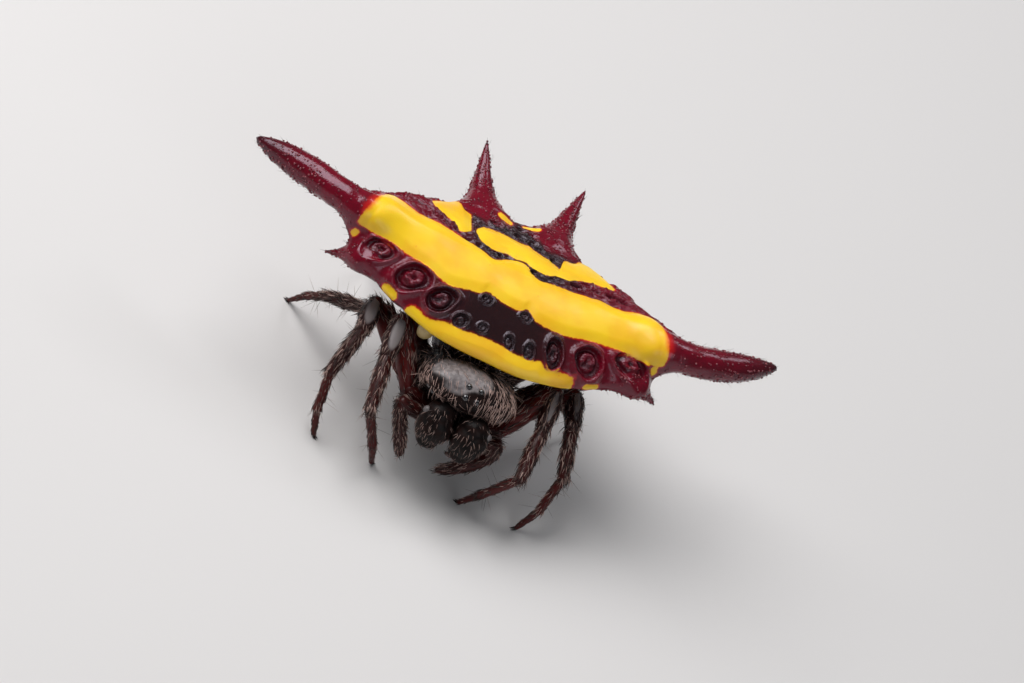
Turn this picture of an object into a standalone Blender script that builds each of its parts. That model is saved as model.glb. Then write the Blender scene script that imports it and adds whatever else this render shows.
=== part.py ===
"""A spiny orb weaver spider at life size, standing still on the tips of its eight legs.

X runs across the spider, with its left side at +X, Y runs towards its rear, Z is up and the
floor is Z = 0. Every size and place below is in millimetres, from a point on the floor under the
front of the head. new_object turns them into metres, and centre_on_origin then moves the whole
spider so that the origin lies under the middle of its box.
"""
import math

import bmesh
import bpy
import numpy as np
from mathutils import Vector

MM = 0.001
WELD = 0.0004

# Abdomen: a wide hard shield, seen from above, with its rim as points of the left half
RIM_LEFT = [
    (0.0, 1.08, 4.45),
    (1.5, 1.18, 4.45),
    (2.8, 1.55, 4.45),
    (3.9, 2.1, 4.48),
    (4.65, 2.65, 4.6),
    (5.05, 3.2, 5.05),
    (5.15, 3.7, 5.4),
    (4.9, 4.4, 5.4),
    (4.15, 5.25, 5.2),
    (3.1, 6.05, 5.0),
    (1.9, 6.68, 4.78),
    (0.9, 6.98, 4.62),
    (0.0, 7.02, 4.55),
]
SHIELD_POLE_Y = 3.9
CROWN_TOP = 5.82
CROWN_Y = 3.7
CROWN_FRONT_FALL = 0.12
CROWN_REAR_SLOPE = 0.2
CROWN_SIDE_RISE = 0.01
SHOULDER_POWER = 3.2
BELLY_LEVEL = 4.05
BELLY_POWER = 2.4
CONE_Y = 4.2
CONE_SIDE_REACH = 1.85
CONE_FRONT_REACH = 1.3
CONE_REAR_REACH = 2.2
CONE_TOP_SHARE = 0.42
CONE_LOWEST = 1.55
SHIELD_SPOKES = 60
SHIELD_TOP_RINGS = 11
SHIELD_BELLY_RINGS = 10
FINE_RIM_POINTS = 720

# Spines of the abdomen: where the middle of the root lies, the tip, and the root's radius. The
# lean lifts the tip on the left and lowers it on the right
MEDIAN_SPINE = {"root": (5.06, 3.51, 5.66), "tip": (8.47, 5.0, 5.4), "radius": 0.5,
                "lean": (0.0, 0.12, 0.12)}
FRONT_SPINE = {"root": (4.62, 2.6, 4.6), "tip": (5.38, 2.84, 4.17), "radius": 0.38}
REAR_SPINE = {"root": (1.17, 6.75, 4.62), "tip": (1.65, 8.96, 5.38), "radius": 0.66}
SPINE_SINK = 0.75
# Profiles, as share of the length from the root and share of the root's radius
MEDIAN_PROFILE = [(-0.1, 0.8), (0.0, 1.06), (0.07, 0.96), (0.2, 0.9), (0.4, 0.93), (0.58, 0.9),
                  (0.75, 0.76), (0.88, 0.54), (0.97, 0.26)]
REAR_PROFILE = [(-0.2, 0.9), (0.0, 1.15), (0.12, 0.88), (0.3, 0.62), (0.5, 0.45), (0.72, 0.32),
                (0.9, 0.18)]
FRONT_PROFILE = [(-0.4, 1.0), (-0.1, 1.12), (0.15, 0.8), (0.4, 0.46), (0.7, 0.24), (0.9, 0.12)]
LONG_SPINE_SIDES = 12
FRONT_SPINE_SIDES = 10

# Sigilla, the ringed pits of the shield: place across and along it, and radius
SIGILLA = [
    (0.38, 1.6, 0.17),
    (1.1, 1.58, 0.26),
    (1.86, 1.88, 0.38),
    (2.8, 2.2, 0.46),
    (4.02, 2.74, 0.5),
    (0.62, 2.45, 0.16),
    (0.66, 4.16, 0.2),
    (1.04, 4.12, 0.13),
    (1.95, 4.45, 0.24),
    (3.1, 4.78, 0.4),
    (0.68, 5.75, 0.15),
    (1.36, 5.42, 0.17),
]
SIGILLUM_RISE = 0.09
SIGILLUM_SINK = 0.3
SIGILLUM_DIMPLE = 0.25
SIGILLUM_FOOT = 1.12
SIGILLUM_LIP = 0.74
SIGILLUM_SIDES = 10
SLOPE_STEP = 0.02

# Head and thorax: sections across the body, as place along it, half width, top and bottom
CARAPACE_SECTIONS = [
    (0.0, 0.95, 3.76, 3.3),
    (0.18, 1.22, 3.95, 3.12),
    (0.45, 1.38, 4.08, 2.95),
    (0.75, 1.45, 4.1, 2.5),
    (1.05, 1.47, 4.05, 2.08),
    (1.45, 1.46, 3.9, 1.92),
    (1.9, 1.4, 3.66, 1.9),
    (2.35, 1.15, 3.35, 1.98),
    (2.7, 0.75, 3.05, 2.15),
]
CARAPACE_FRONT = (0.0, -0.08, 3.54)
CARAPACE_REAR = (0.0, 2.9, 2.65)
CARAPACE_SIDES = 20
WIDEST_SHARE = 0.57
SIDE_POWER = 0.85
UNDERSIDE_POWER = 1.8
DOME_POWER = 0.9

# Pedicel, the short stalk that carries the abdomen, and the spinnerets under it
PEDICEL = {"from": (0.0, 2.6, 2.75), "to": (0.0, 3.12, 2.95), "radius": 0.28}
PEDICEL_SIDES = 10
ROUNDING = 0.05
SPINNERET_RING = {"y": 4.2, "top": 1.34, "foot": 1.12, "radius": 0.52}
SPINNERETS = [(0.2, -0.24, 0.3), (0.24, 0.02, 0.2), (0.2, 0.26, 0.3)]
SPINNERET_RADIUS = 0.14
SPINNERET_ROOT_RISE = 0.1
SPINNERET_GATHER = (0.75, 0.7)
COLLAR_SIDES = 16
SPINNERET_SIDES = 8

# Jaws, one on each side of the middle plane, and the fang folded in under each
CHELICERA = {"top": (0.57, -0.12, 2.94), "foot": (0.55, -0.36, 2.1)}
CHELICERA_RADII = (0.42, 0.51, 0.53, 0.48, 0.34)
CHELICERA_SIDES = 12
FANG = {"from": (0.46, -0.32, 1.86), "to": (0.18, -0.14, 1.72), "radius": 0.12}
FANG_SIDES = 8

# Eyes: place across, along and above, and radius
EYES = {
    "eye_median_front": (0.18, -0.02, 3.8, 0.11),
    "eye_median_rear": (0.2, 0.24, 4.02, 0.1),
    "eye_side_front": (1.1, 0.08, 3.3, 0.1),
    "eye_side_rear": (1.24, 0.24, 3.42, 0.1),
}
EYE_GAP = 0.03
EYE_SIDES = 10
# A dome's profile, as share of its height and share of its radius
EYE_HEIGHT = 0.9
EYE_PROFILE = [(0.0, 0.0), (0.001, 1.0), (0.45, 0.88), (0.82, 0.52), (1.0, 0.0)]

# Legs: joint centres from the body to the tip, as places on the spider's left side
LEGS = {
    "leg_1": [(1.12, 0.96, 2.14), (1.5, 0.98, 2.32), (2.52, 2.12, 3.7), (2.55, 1.09, 3.12),
              (2.44, -0.46, 2.24), (1.75, -0.35, 0.95), (1.39, 0.0, 0.0)],
    "leg_2": [(1.12, 1.57, 2.08), (1.66, 1.72, 2.16), (3.28, 2.9, 3.18), (3.42, 1.68, 3.07),
              (3.79, 0.62, 2.04), (3.62, 0.15, 0.9), (3.28, 0.0, 0.0)],
    "leg_3": [(1.12, 2.18, 2.08), (1.55, 2.44, 2.06), (2.75, 3.3, 2.75), (3.33, 3.6, 2.21),
              (4.2, 4.35, 1.4), (4.65, 4.75, 0.72), (4.97, 5.05, 0.0)],
    "leg_4": [(0.98, 2.78, 2.12), (1.32, 3.15, 2.16), (2.45, 4.7, 3.0), (2.75, 5.6, 2.9),
              (2.85, 7.0, 1.9), (2.75, 7.7, 0.95), (2.5, 8.0, 0.0)],
}
LEG_3_LEFT_OUTER = [(3.3, 3.6, 2.25), (3.8, 4.1, 1.45), (4.08, 4.4, 0.74), (4.25, 4.67, 0.0)]
LEG_SEGMENTS = {
    "coxa": (0.25, 0.27, 0.28, 0.27, 0.25),
    "femur": (0.25, 0.31, 0.34, 0.31, 0.27),
    "patella": (0.27, 0.29, 0.3, 0.29, 0.26),
    "tibia": (0.25, 0.27, 0.28, 0.27, 0.25),
    "metatarsus": (0.25, 0.25, 0.24, 0.24, 0.23),
}
TARSUS_RADII = (0.23, 0.22, 0.2, 0.17)
FOOT_RADIUS = 0.13
LEG_SLIMNESS = {"leg_1": 1.0, "leg_2": 0.97, "leg_3": 0.88, "leg_4": 0.97}
LEG_SIDES = 8
# How far a segment's dome reaches past a joint, as a share of the radius there
OVERREACH = 0.55
TARSUS_TAPER_END = 0.8
SHARP_ANGLE = 50.0

# Feelers, which hang unlike each other beside the jaws
PALP_RIGHT = [(0.86, 0.5, 2.04), (1.58, 0.4, 2.3), (1.42, 0.25, 1.9), (1.2, 0.15, 1.5),
              (0.86, 0.0, 0.8)]
PALP_LEFT = [(0.86, 0.5, 2.04), (1.54, 0.35, 2.34), (1.48, 0.2, 1.92), (0.98, 0.08, 1.32),
             (0.36, 0.0, 0.84)]
PALP_SEGMENTS = [
    (0.2, 0.24, 0.25, 0.25, 0.24),
    (0.24, 0.25, 0.25, 0.25, 0.24),
    (0.24, 0.25, 0.25, 0.25, 0.24),
    (0.24, 0.25, 0.25, 0.21, 0.15),
]

# Colours as red, green and blue, roughness, and metallic value
FINISHES = {
    "shell_yellow": ((0.8, 0.52, 0.03), 0.28, 0.0),
    "carapace_black": ((0.02, 0.014, 0.014), 0.35, 0.0),
    "leg_brown": ((0.045, 0.018, 0.015), 0.4, 0.0),
    "eye_black": ((0.005, 0.005, 0.006), 0.08, 0.0),
}


def clear_scene():
    """Removes every object that the file started with."""
    for old in list(bpy.data.objects):
        bpy.data.objects.remove(old, do_unlink=True)


def finish(name):
    """Gives the named material, made once."""
    if name in bpy.data.materials:
        return bpy.data.materials[name]
    colour, roughness, metallic = FINISHES[name]
    material = bpy.data.materials.new(name)
    material.use_nodes = True
    shader = material.node_tree.nodes["Principled BSDF"]
    shader.inputs["Base Color"].default_value = (*colour, 1.0)
    shader.inputs["Roughness"].default_value = roughness
    shader.inputs["Metallic"].default_value = metallic
    return material


def new_object(name, points, faces, material):
    """Makes a mesh object from places in millimetres, with its faces turned outwards."""
    mesh = bpy.data.meshes.new(name)
    scaled = (np.asarray(points, dtype=float) * MM).tolist()
    mesh.from_pydata(scaled, [], [tuple(face) for face in faces])
    mesh.validate()
    surface = bmesh.new()
    surface.from_mesh(mesh)
    bmesh.ops.recalc_face_normals(surface, faces=surface.faces)
    surface.to_mesh(mesh)
    surface.free()
    mesh.materials.append(finish(material))
    item = bpy.data.objects.new(name, mesh)
    bpy.context.scene.collection.objects.link(item)
    return item


def largest_body(surface):
    """Keeps only the closed surface that has the most volume."""
    left = set(surface.faces)
    bodies = []
    while left:
        body = {left.pop()}
        edge_of_body = list(body)
        while edge_of_body:
            face = edge_of_body.pop()
            for edge in face.edges:
                for neighbour in edge.link_faces:
                    if neighbour in left:
                        left.discard(neighbour)
                        body.add(neighbour)
                        edge_of_body.append(neighbour)
        bodies.append(body)
    bodies.sort(key=body_volume, reverse=True)
    for body in bodies[1:]:
        bmesh.ops.delete(surface, geom=list(body), context="FACES")
    bmesh.ops.delete(
        surface, geom=[v for v in surface.verts if not v.link_faces], context="VERTS")


def body_volume(faces):
    """Sums the signed volume that a set of triangles encloses."""
    total = 0.0
    for face in faces:
        a, b, c = (vertex.co for vertex in face.verts)
        total += a.dot(b.cross(c)) / 6.0
    return abs(total)


def fuse(name, pieces):
    """Joins closed pieces into one closed body."""
    first = pieces[0]
    group = bpy.data.collections.new(name + "_pieces")
    for piece in pieces[1:]:
        group.objects.link(piece)
    union = first.modifiers.new("union", "BOOLEAN")
    union.operation = "UNION"
    union.operand_type = "COLLECTION"
    union.collection = group
    union.solver = "EXACT"
    depsgraph = bpy.context.evaluated_depsgraph_get()
    mesh = bpy.data.meshes.new_from_object(first.evaluated_get(depsgraph))
    surface = bmesh.new()
    surface.from_mesh(mesh)
    bmesh.ops.remove_doubles(surface, verts=surface.verts, dist=WELD * MM)
    bmesh.ops.dissolve_degenerate(surface, edges=surface.edges, dist=WELD * MM)
    bmesh.ops.triangulate(surface, faces=surface.faces)
    largest_body(surface)
    surface.to_mesh(mesh)
    surface.free()
    mesh.materials.clear()
    mesh.materials.append(first.data.materials[0])
    first.modifiers.clear()
    first.data = mesh
    first.name = name
    for piece in pieces[1:]:
        bpy.data.objects.remove(piece, do_unlink=True)
    bpy.data.collections.remove(group)
    return first


def mirrored(point, side):
    """Puts a place of the left side on the given side, 1 for left and -1 for right."""
    return np.array([point[0] * side, point[1], point[2]])


def grid_faces(rings, spokes, first=0):
    """Numbers the quads between closed rings of equally many points."""
    faces = []
    for ring in range(rings - 1):
        for spoke in range(spokes):
            following = (spoke + 1) % spokes
            low = first + ring * spokes
            high = low + spokes
            faces.append((low + spoke, low + following, high + following, high + spoke))
    return faces


def fan_faces(tip, ring_start, spokes):
    """Numbers the triangles from one point to a closed ring."""
    return [(tip, ring_start + spoke, ring_start + (spoke + 1) % spokes)
            for spoke in range(spokes)]


def side_axes(direction):
    """Gives two unit vectors square to a direction and to each other."""
    along = Vector(direction).normalized()
    helper = Vector((0.0, 0.0, 1.0)) if abs(along.z) < 0.9 else Vector((1.0, 0.0, 0.0))
    across = along.cross(helper).normalized()
    return np.array(across), np.array(along.cross(across))


def ring(centre, across, upward, radius, sides):
    """Places points on a circle in the plane of two unit vectors."""
    angles = np.arange(sides) * 2.0 * math.pi / sides
    return (centre + radius * (np.cos(angles)[:, None] * across
                               + np.sin(angles)[:, None] * upward))


def turned(name, start, end, profile, sides, material):
    """Turns a profile of (share of the length, radius) about the line from start to end.

    The first and last entries have a radius of 0 and become points.
    """
    start = np.asarray(start, dtype=float)
    end = np.asarray(end, dtype=float)
    across, upward = side_axes(end - start)
    inner = profile[1:-1]
    points = [ring(start + share * (end - start), across, upward, radius, sides)
              for share, radius in inner]
    points = np.vstack(points + [start + profile[0][0] * (end - start),
                                 start + profile[-1][0] * (end - start)])
    rings = len(inner)
    faces = grid_faces(rings, sides)
    faces += fan_faces(rings * sides, 0, sides)
    faces += fan_faces(rings * sides + 1, (rings - 1) * sides, sides)
    return new_object(name, points, faces, material)


def segment(name, start, end, radii, material, sides=LEG_SIDES):
    """Makes one leg segment: a spindle with domed ends that reach past its two joints."""
    length = float(np.linalg.norm(np.asarray(end) - np.asarray(start)))
    shares = np.linspace(0.0, 1.0, len(radii))
    profile = [(-OVERREACH * radii[0] / length, 0.0)]
    profile += list(zip(shares, radii))
    profile += [(1.0 + OVERREACH * radii[-1] / length, 0.0)]
    return turned(name, start, end, profile, sides, material)


def rim_curve(count):
    """Runs a closed smooth curve through the rim's points on both sides."""
    left = np.array(RIM_LEFT)
    right = left[-2:0:-1] * (-1.0, 1.0, 1.0)
    corners = np.vstack([left, right])
    total = len(corners)
    places = np.arange(count) * total / count
    index = np.floor(places).astype(int)
    part = (places - index)[:, None]
    before, here, after, beyond = (corners[(index + step) % total] for step in (-1, 0, 1, 2))
    return 0.5 * (2.0 * here + (after - before) * part
                  + (2.0 * before - 5.0 * here + 4.0 * after - beyond) * part ** 2
                  + (3.0 * here - before - 3.0 * after + beyond) * part ** 3)


def rim_at(x, y):
    """Finds how far out a place is, as a share of the way to the rim, and the rim's height."""
    curve = rim_curve(FINE_RIM_POINTS)
    bearing = np.arctan2(curve[:, 0], curve[:, 1] - SHIELD_POLE_Y)
    reach = np.hypot(curve[:, 0], curve[:, 1] - SHIELD_POLE_Y)
    order = np.argsort(bearing)
    wanted = np.arctan2(x, y - SHIELD_POLE_Y)
    rim_reach = np.interp(wanted, bearing[order], reach[order], period=2.0 * math.pi)
    rim_height = np.interp(wanted, bearing[order], curve[order, 2], period=2.0 * math.pi)
    return np.hypot(x, y - SHIELD_POLE_Y) / rim_reach, rim_height


def crown_height(x, y):
    """Gives the height that the shield's top would have without its rounded shoulder."""
    ahead = np.clip(CROWN_Y - y, 0.0, None)
    behind = np.clip(y - CROWN_Y, 0.0, None)
    return (CROWN_TOP - CROWN_FRONT_FALL * ahead ** 2 - CROWN_REAR_SLOPE * behind
            + CROWN_SIDE_RISE * x ** 2)


def top_height(x, y, share, rim_height):
    """Lets the crown fall to the rim over a rounded shoulder."""
    shoulder = np.sqrt(np.clip(1.0 - share ** SHOULDER_POWER, 0.0, 1.0))
    return rim_height + (crown_height(x, y) - rim_height) * shoulder


def belly_height(x, y, share, rim_height):
    """Gives the underside: a shallow belly with a blunt cone under the middle."""
    reach = np.where(y < CONE_Y, CONE_FRONT_REACH, CONE_REAR_REACH)
    out = np.hypot(x / CONE_SIDE_REACH, (y - CONE_Y) / reach)
    climb = np.clip((out - CONE_TOP_SHARE) / (1.0 - CONE_TOP_SHARE), 0.0, 1.0)
    level = CONE_LOWEST + (BELLY_LEVEL - CONE_LOWEST) * climb ** 2 * (3.0 - 2.0 * climb)
    tuck = np.sqrt(np.clip(1.0 - share ** BELLY_POWER, 0.0, 1.0))
    return rim_height - (rim_height - level) * tuck


def shield():
    """Makes the abdomen's body as rings from the top's middle over the rim to the belly's."""
    rim = rim_curve(SHIELD_SPOKES)
    pole = np.array([0.0, SHIELD_POLE_Y])
    rings = []
    top_shares = np.sin(np.linspace(0.0, math.pi / 2.0, SHIELD_TOP_RINGS + 1))[1:]
    belly_shares = np.sin(np.linspace(math.pi / 2.0, 0.0, SHIELD_BELLY_RINGS + 1))[1:-1]
    for share in top_shares:
        plan = pole + (rim[:, :2] - pole) * share
        height = top_height(plan[:, 0], plan[:, 1], share, rim[:, 2])
        rings.append(np.column_stack([plan, height]))
    for share in belly_shares:
        plan = pole + (rim[:, :2] - pole) * share
        height = belly_height(plan[:, 0], plan[:, 1], share, rim[:, 2])
        rings.append(np.column_stack([plan, height]))
    top = (0.0, SHIELD_POLE_Y, crown_height(0.0, SHIELD_POLE_Y))
    low = (0.0, SHIELD_POLE_Y, belly_height(0.0, np.float64(SHIELD_POLE_Y), 0.0, RIM_LEFT[0][2]))
    points = np.vstack(rings + [top, low])
    count = len(rings)
    faces = grid_faces(count, SHIELD_SPOKES)
    faces += fan_faces(count * SHIELD_SPOKES, 0, SHIELD_SPOKES)
    faces += fan_faces(count * SHIELD_SPOKES + 1, (count - 1) * SHIELD_SPOKES, SHIELD_SPOKES)
    return new_object("abdomen", points, faces, "shell_yellow")


def shield_point(x, y):
    """Gives the place and the outward direction of the shield's top above (x, y)."""
    heights = [float(top_height(a, b, *rim_at(a, b)))
               for a, b in ((x, y), (x + SLOPE_STEP, y), (x, y + SLOPE_STEP))]
    outward = Vector(((heights[0] - heights[1]) / SLOPE_STEP,
                      (heights[0] - heights[2]) / SLOPE_STEP, 1.0))
    return Vector((x, y, heights[0])), outward.normalized()


def sigillum(x, y, radius):
    """Makes one ringed pit as a low ring with a dimple, sunk into the shield."""
    centre, outward = shield_point(x, y)
    bottom = centre - outward * SIGILLUM_SINK
    top = centre + outward * SIGILLUM_RISE
    length = SIGILLUM_SINK + SIGILLUM_RISE
    dimple = (SIGILLUM_SINK + SIGILLUM_DIMPLE * SIGILLUM_RISE) / length
    profile = [(0.0, 0.0), (0.1 / length, 0.8 * radius),
               (SIGILLUM_SINK / length, SIGILLUM_FOOT * radius),
               (1.0, SIGILLUM_LIP * radius), (dimple, 0.0)]
    return turned("sigillum", bottom, top, profile, SIGILLUM_SIDES, "shell_yellow")


def spine(name, side, place, profile, sides):
    """Makes one spine with its root sunk into the shield."""
    root = mirrored(place["root"], side)
    tip = mirrored(place["tip"], side) + side * np.array(place.get("lean", (0.0, 0.0, 0.0)))
    along = (tip - root) / np.linalg.norm(tip - root)
    start = root - along * SPINE_SINK
    length = np.linalg.norm(tip - start)
    sunk = SPINE_SINK / length
    shares = [(sunk + (1.0 - sunk) * share, radius * place["radius"])
              for share, radius in profile]
    return turned(name, start, tip, [(0.0, 0.0)] + shares + [(1.0, 0.0)], sides,
                  "shell_yellow")


def abdomen():
    """Joins the shield, its six spines and its sigilla."""
    pieces = [shield()]
    for side in (1, -1):
        pieces.append(spine("median_spine", side, MEDIAN_SPINE, MEDIAN_PROFILE,
                            LONG_SPINE_SIDES))
        pieces.append(spine("rear_spine", side, REAR_SPINE, REAR_PROFILE, LONG_SPINE_SIDES))
        pieces.append(spine("front_spine", side, FRONT_SPINE, FRONT_PROFILE,
                            FRONT_SPINE_SIDES))
        for x, y, radius in SIGILLA:
            pieces.append(sigillum(side * x, y, radius))
    return fuse("abdomen", pieces)


def carapace_section(along, half_width, top, bottom):
    """Places one section's points: a wide dome above and a narrow keel of a belly below."""
    angles = (np.arange(CARAPACE_SIDES) + 0.5) * 2.0 * math.pi / CARAPACE_SIDES
    cosine, sine = np.cos(angles), np.sin(angles)
    widest = bottom + (top - bottom) * WIDEST_SHARE
    power = np.where(sine > 0.0, SIDE_POWER, UNDERSIDE_POWER)
    across = half_width * np.sign(cosine) * np.abs(cosine) ** power
    rise = np.where(sine > 0.0, (top - widest) * np.abs(sine) ** DOME_POWER,
                    -(widest - bottom) * np.abs(sine))
    return np.column_stack([across, np.full(CARAPACE_SIDES, along), widest + rise])


def cephalothorax():
    """Makes the head and thorax as one body, with the stalk to the abdomen."""
    rings = [carapace_section(*section) for section in CARAPACE_SECTIONS]
    count = len(rings)
    points = np.vstack(rings + [CARAPACE_FRONT, CARAPACE_REAR])
    faces = grid_faces(count, CARAPACE_SIDES)
    faces += fan_faces(count * CARAPACE_SIDES, 0, CARAPACE_SIDES)
    faces += fan_faces(count * CARAPACE_SIDES + 1, (count - 1) * CARAPACE_SIDES,
                       CARAPACE_SIDES)
    body = new_object("cephalothorax", points, faces, "carapace_black")
    stalk_radius = PEDICEL["radius"]
    profile = [(0.0, 0.0), (ROUNDING, stalk_radius), (0.5, stalk_radius),
               (1.0 - ROUNDING, stalk_radius), (1.0, 0.0)]
    stalk = turned("stalk", PEDICEL["from"], PEDICEL["to"], profile, PEDICEL_SIDES,
                   "carapace_black")
    return fuse("cephalothorax", [body, stalk])


def chelicera(name, side):
    """Makes one jaw with its folded fang."""
    jaw = segment("jaw", mirrored(CHELICERA["top"], side), mirrored(CHELICERA["foot"], side),
                  CHELICERA_RADII, "carapace_black", sides=CHELICERA_SIDES)
    radius = FANG["radius"]
    fang = turned("fang", mirrored(FANG["from"], side), mirrored(FANG["to"], side),
                  [(-0.4, 0.0), (0.0, radius), (0.6, 0.7 * radius), (1.0, 0.0)], FANG_SIDES,
                  "carapace_black")
    return fuse(name, [jaw, fang])


def spinnerets():
    """Makes the low ring under the belly with its three pairs of small cones."""
    middle = np.array([0.0, SPINNERET_RING["y"], 0.0])
    top = middle + (0.0, 0.0, SPINNERET_RING["top"])
    foot = middle + (0.0, 0.0, SPINNERET_RING["foot"])
    radius = SPINNERET_RING["radius"]
    collar = turned("collar", top, foot,
                    [(0.0, 0.0), (0.02, 0.9 * radius), (0.5, radius), (0.98, 0.85 * radius),
                     (1.0, 0.0)], COLLAR_SIDES, "carapace_black")
    pieces = [collar]
    for across, along, drop in SPINNERETS:
        for side in (1, -1):
            root = foot + (side * across, along, SPINNERET_ROOT_RISE)
            tip = foot + (side * across * SPINNERET_GATHER[0], along * SPINNERET_GATHER[1],
                          -drop)
            profile = [(0.0, 0.0), (ROUNDING, SPINNERET_RADIUS), (0.6, 0.85 * SPINNERET_RADIUS),
                       (0.9, 0.5 * SPINNERET_RADIUS), (1.0, 0.0)]
            pieces.append(turned("spinneret", root, tip, profile, SPINNERET_SIDES,
                                 "carapace_black"))
    return fuse("spinnerets", pieces)


def nearest_on(body, point):
    """Finds the nearest place on a body's surface and the outward direction there."""
    found, place, outward, _ = body.closest_point_on_mesh(Vector(point) * MM)
    if not found:
        raise ValueError("no surface near the eye")
    return place / MM, outward.normalized()


def eye(name, body, point, radius):
    """Sets one dome-shaped eye on the head, with its flat side against the surface."""
    place, outward = nearest_on(body, point)
    base = place + outward * EYE_GAP
    top = base + outward * radius * EYE_HEIGHT
    profile = [(share, width * radius) for share, width in EYE_PROFILE]
    return turned(name, base, top, profile, EYE_SIDES, "eye_black")


def tarsus(start, tip, radii, foot_radius):
    """Makes the last segment of a leg, which ends in a small level flat on the floor."""
    start = np.asarray(start, dtype=float)
    tip = np.asarray(tip, dtype=float)
    across, upward = side_axes(tip - start)
    shares = np.linspace(0.0, TARSUS_TAPER_END, len(radii))
    rings = [ring(start + share * (tip - start), across, upward, radius, LEG_SIDES)
             for share, radius in zip(shares, radii)]
    level_across = np.array([across[0], across[1], 0.0])
    level_across /= np.linalg.norm(level_across)
    level_upward = np.cross(np.array([0.0, 0.0, -1.0]), level_across)
    rings.append(ring(tip, level_across, level_upward, foot_radius, LEG_SIDES))
    head = start - OVERREACH * radii[0] * (tip - start) / np.linalg.norm(tip - start)
    points = np.vstack(rings + [head])
    count = len(rings)
    faces = grid_faces(count, LEG_SIDES)
    faces += fan_faces(count * LEG_SIDES, 0, LEG_SIDES)
    faces.append(tuple(range((count - 1) * LEG_SIDES, count * LEG_SIDES)))
    return new_object("tarsus", points, faces, "leg_brown")


def leg(name, joints, side, slimness):
    """Joins a leg's segments from the coxa to the foot."""
    places = [mirrored(joint, side) for joint in joints]
    pieces = []
    for index, (part, radii) in enumerate(LEG_SEGMENTS.items()):
        thick = [radius * slimness for radius in radii]
        pieces.append(segment(part, places[index], places[index + 1], thick, "leg_brown"))
    last_radii = [radius * slimness for radius in TARSUS_RADII]
    pieces.append(tarsus(places[-2], places[-1], last_radii, FOOT_RADIUS))
    return fuse(name, pieces)


def palp(name, joints, side):
    """Joins the segments of one feeler."""
    places = [mirrored(joint, side) for joint in joints]
    pieces = [segment("palp_segment", places[index], places[index + 1], radii, "leg_brown")
              for index, radii in enumerate(PALP_SEGMENTS)]
    return fuse(name, pieces)


def legs():
    """Makes the eight legs, of which only the third on the left stands narrower."""
    made = []
    for name, joints in LEGS.items():
        for word, side in (("left", 1), ("right", -1)):
            places = joints
            if name == "leg_3" and word == "left":
                places = joints[:3] + LEG_3_LEFT_OUTER
            made.append(leg(name + "_" + word, places, side, LEG_SLIMNESS[name]))
    return made


def smooth(item):
    """Shades an object smooth apart from its sharp edges."""
    item.data.shade_smooth()
    item.data.set_sharp_from_angle(angle=math.radians(SHARP_ANGLE))


def centre_on_origin(items):
    """Moves the meshes so that the origin is under the middle of the whole box."""
    corners = np.array([vertex.co for item in items for vertex in item.data.vertices])
    low, high = corners.min(axis=0), corners.max(axis=0)
    shift = Vector((-(low[0] + high[0]) / 2.0, -(low[1] + high[1]) / 2.0, 0.0))
    for item in items:
        for vertex in item.data.vertices:
            vertex.co += shift


def main():
    """Builds the spider."""
    clear_scene()
    body = cephalothorax()
    items = [body, abdomen(), spinnerets()]
    for word, side, joints in (("left", 1, PALP_LEFT), ("right", -1, PALP_RIGHT)):
        items.append(chelicera("chelicera_" + word, side))
        items.append(palp("palp_" + word, joints, side))
        for name, (x, y, z, radius) in EYES.items():
            items.append(eye(name + "_" + word, body, (side * x, y, z), radius))
    items += legs()
    centre_on_origin(items)
    for item in items:
        smooth(item)


main()
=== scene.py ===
# %% [markdown]
# # A spiny orb weaver, life size
# The animal is a small orb weaver whose abdomen is a wide, hard, glossy plate with six spines.
# The plain solids of the model come first and give every place. Each step below then makes one
# part of the real spider's surface over them: its form, its colours and its hair.

# %% Load the plain solids
import math

import bpy
import numpy as np
from mathutils import Matrix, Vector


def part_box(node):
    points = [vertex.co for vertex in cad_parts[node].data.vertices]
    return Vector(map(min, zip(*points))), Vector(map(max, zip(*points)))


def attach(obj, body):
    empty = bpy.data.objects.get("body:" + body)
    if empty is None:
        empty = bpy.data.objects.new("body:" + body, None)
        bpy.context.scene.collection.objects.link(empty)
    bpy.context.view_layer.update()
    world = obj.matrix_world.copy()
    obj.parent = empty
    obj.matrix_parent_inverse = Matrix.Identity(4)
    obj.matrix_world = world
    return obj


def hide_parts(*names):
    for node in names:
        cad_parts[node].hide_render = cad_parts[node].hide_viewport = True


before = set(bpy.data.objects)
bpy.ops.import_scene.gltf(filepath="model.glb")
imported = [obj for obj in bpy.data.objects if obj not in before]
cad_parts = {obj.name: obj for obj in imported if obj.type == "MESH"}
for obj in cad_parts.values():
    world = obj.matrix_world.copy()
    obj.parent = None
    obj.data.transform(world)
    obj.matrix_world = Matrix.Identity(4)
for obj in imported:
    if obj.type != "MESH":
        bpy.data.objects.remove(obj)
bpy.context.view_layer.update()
MM = 0.001

# %% [markdown]
# All places below are in millimetres, with X to the spider's left, Y to its rear and Z up, from
# a point on the floor under the front of the head. The solids have their origin under the middle
# of their box instead. The ring of the spinnerets lies at Y 4.2 in the first system, so its box
# gives the step between the two.

# %% Find the step between the two origins
SPINNERETS_Y = 4.2
ring_low, ring_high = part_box("spinnerets")
STEP_TO_SOLIDS = np.array([0.0, (ring_low.y + ring_high.y) / 2.0 / MM - SPINNERETS_Y, 0.0])
print("step to the solids, mm:", STEP_TO_SOLIDS.round(4))

# %% [markdown]
# A surface here is a function that takes two shares, one from the first pole to the last and one
# around, and gives places. Sampled on a grid it becomes a mesh of quads with a fan of triangles
# at each pole. Blender takes whole arrays through foreach_set, which is much faster than a loop.


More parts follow.
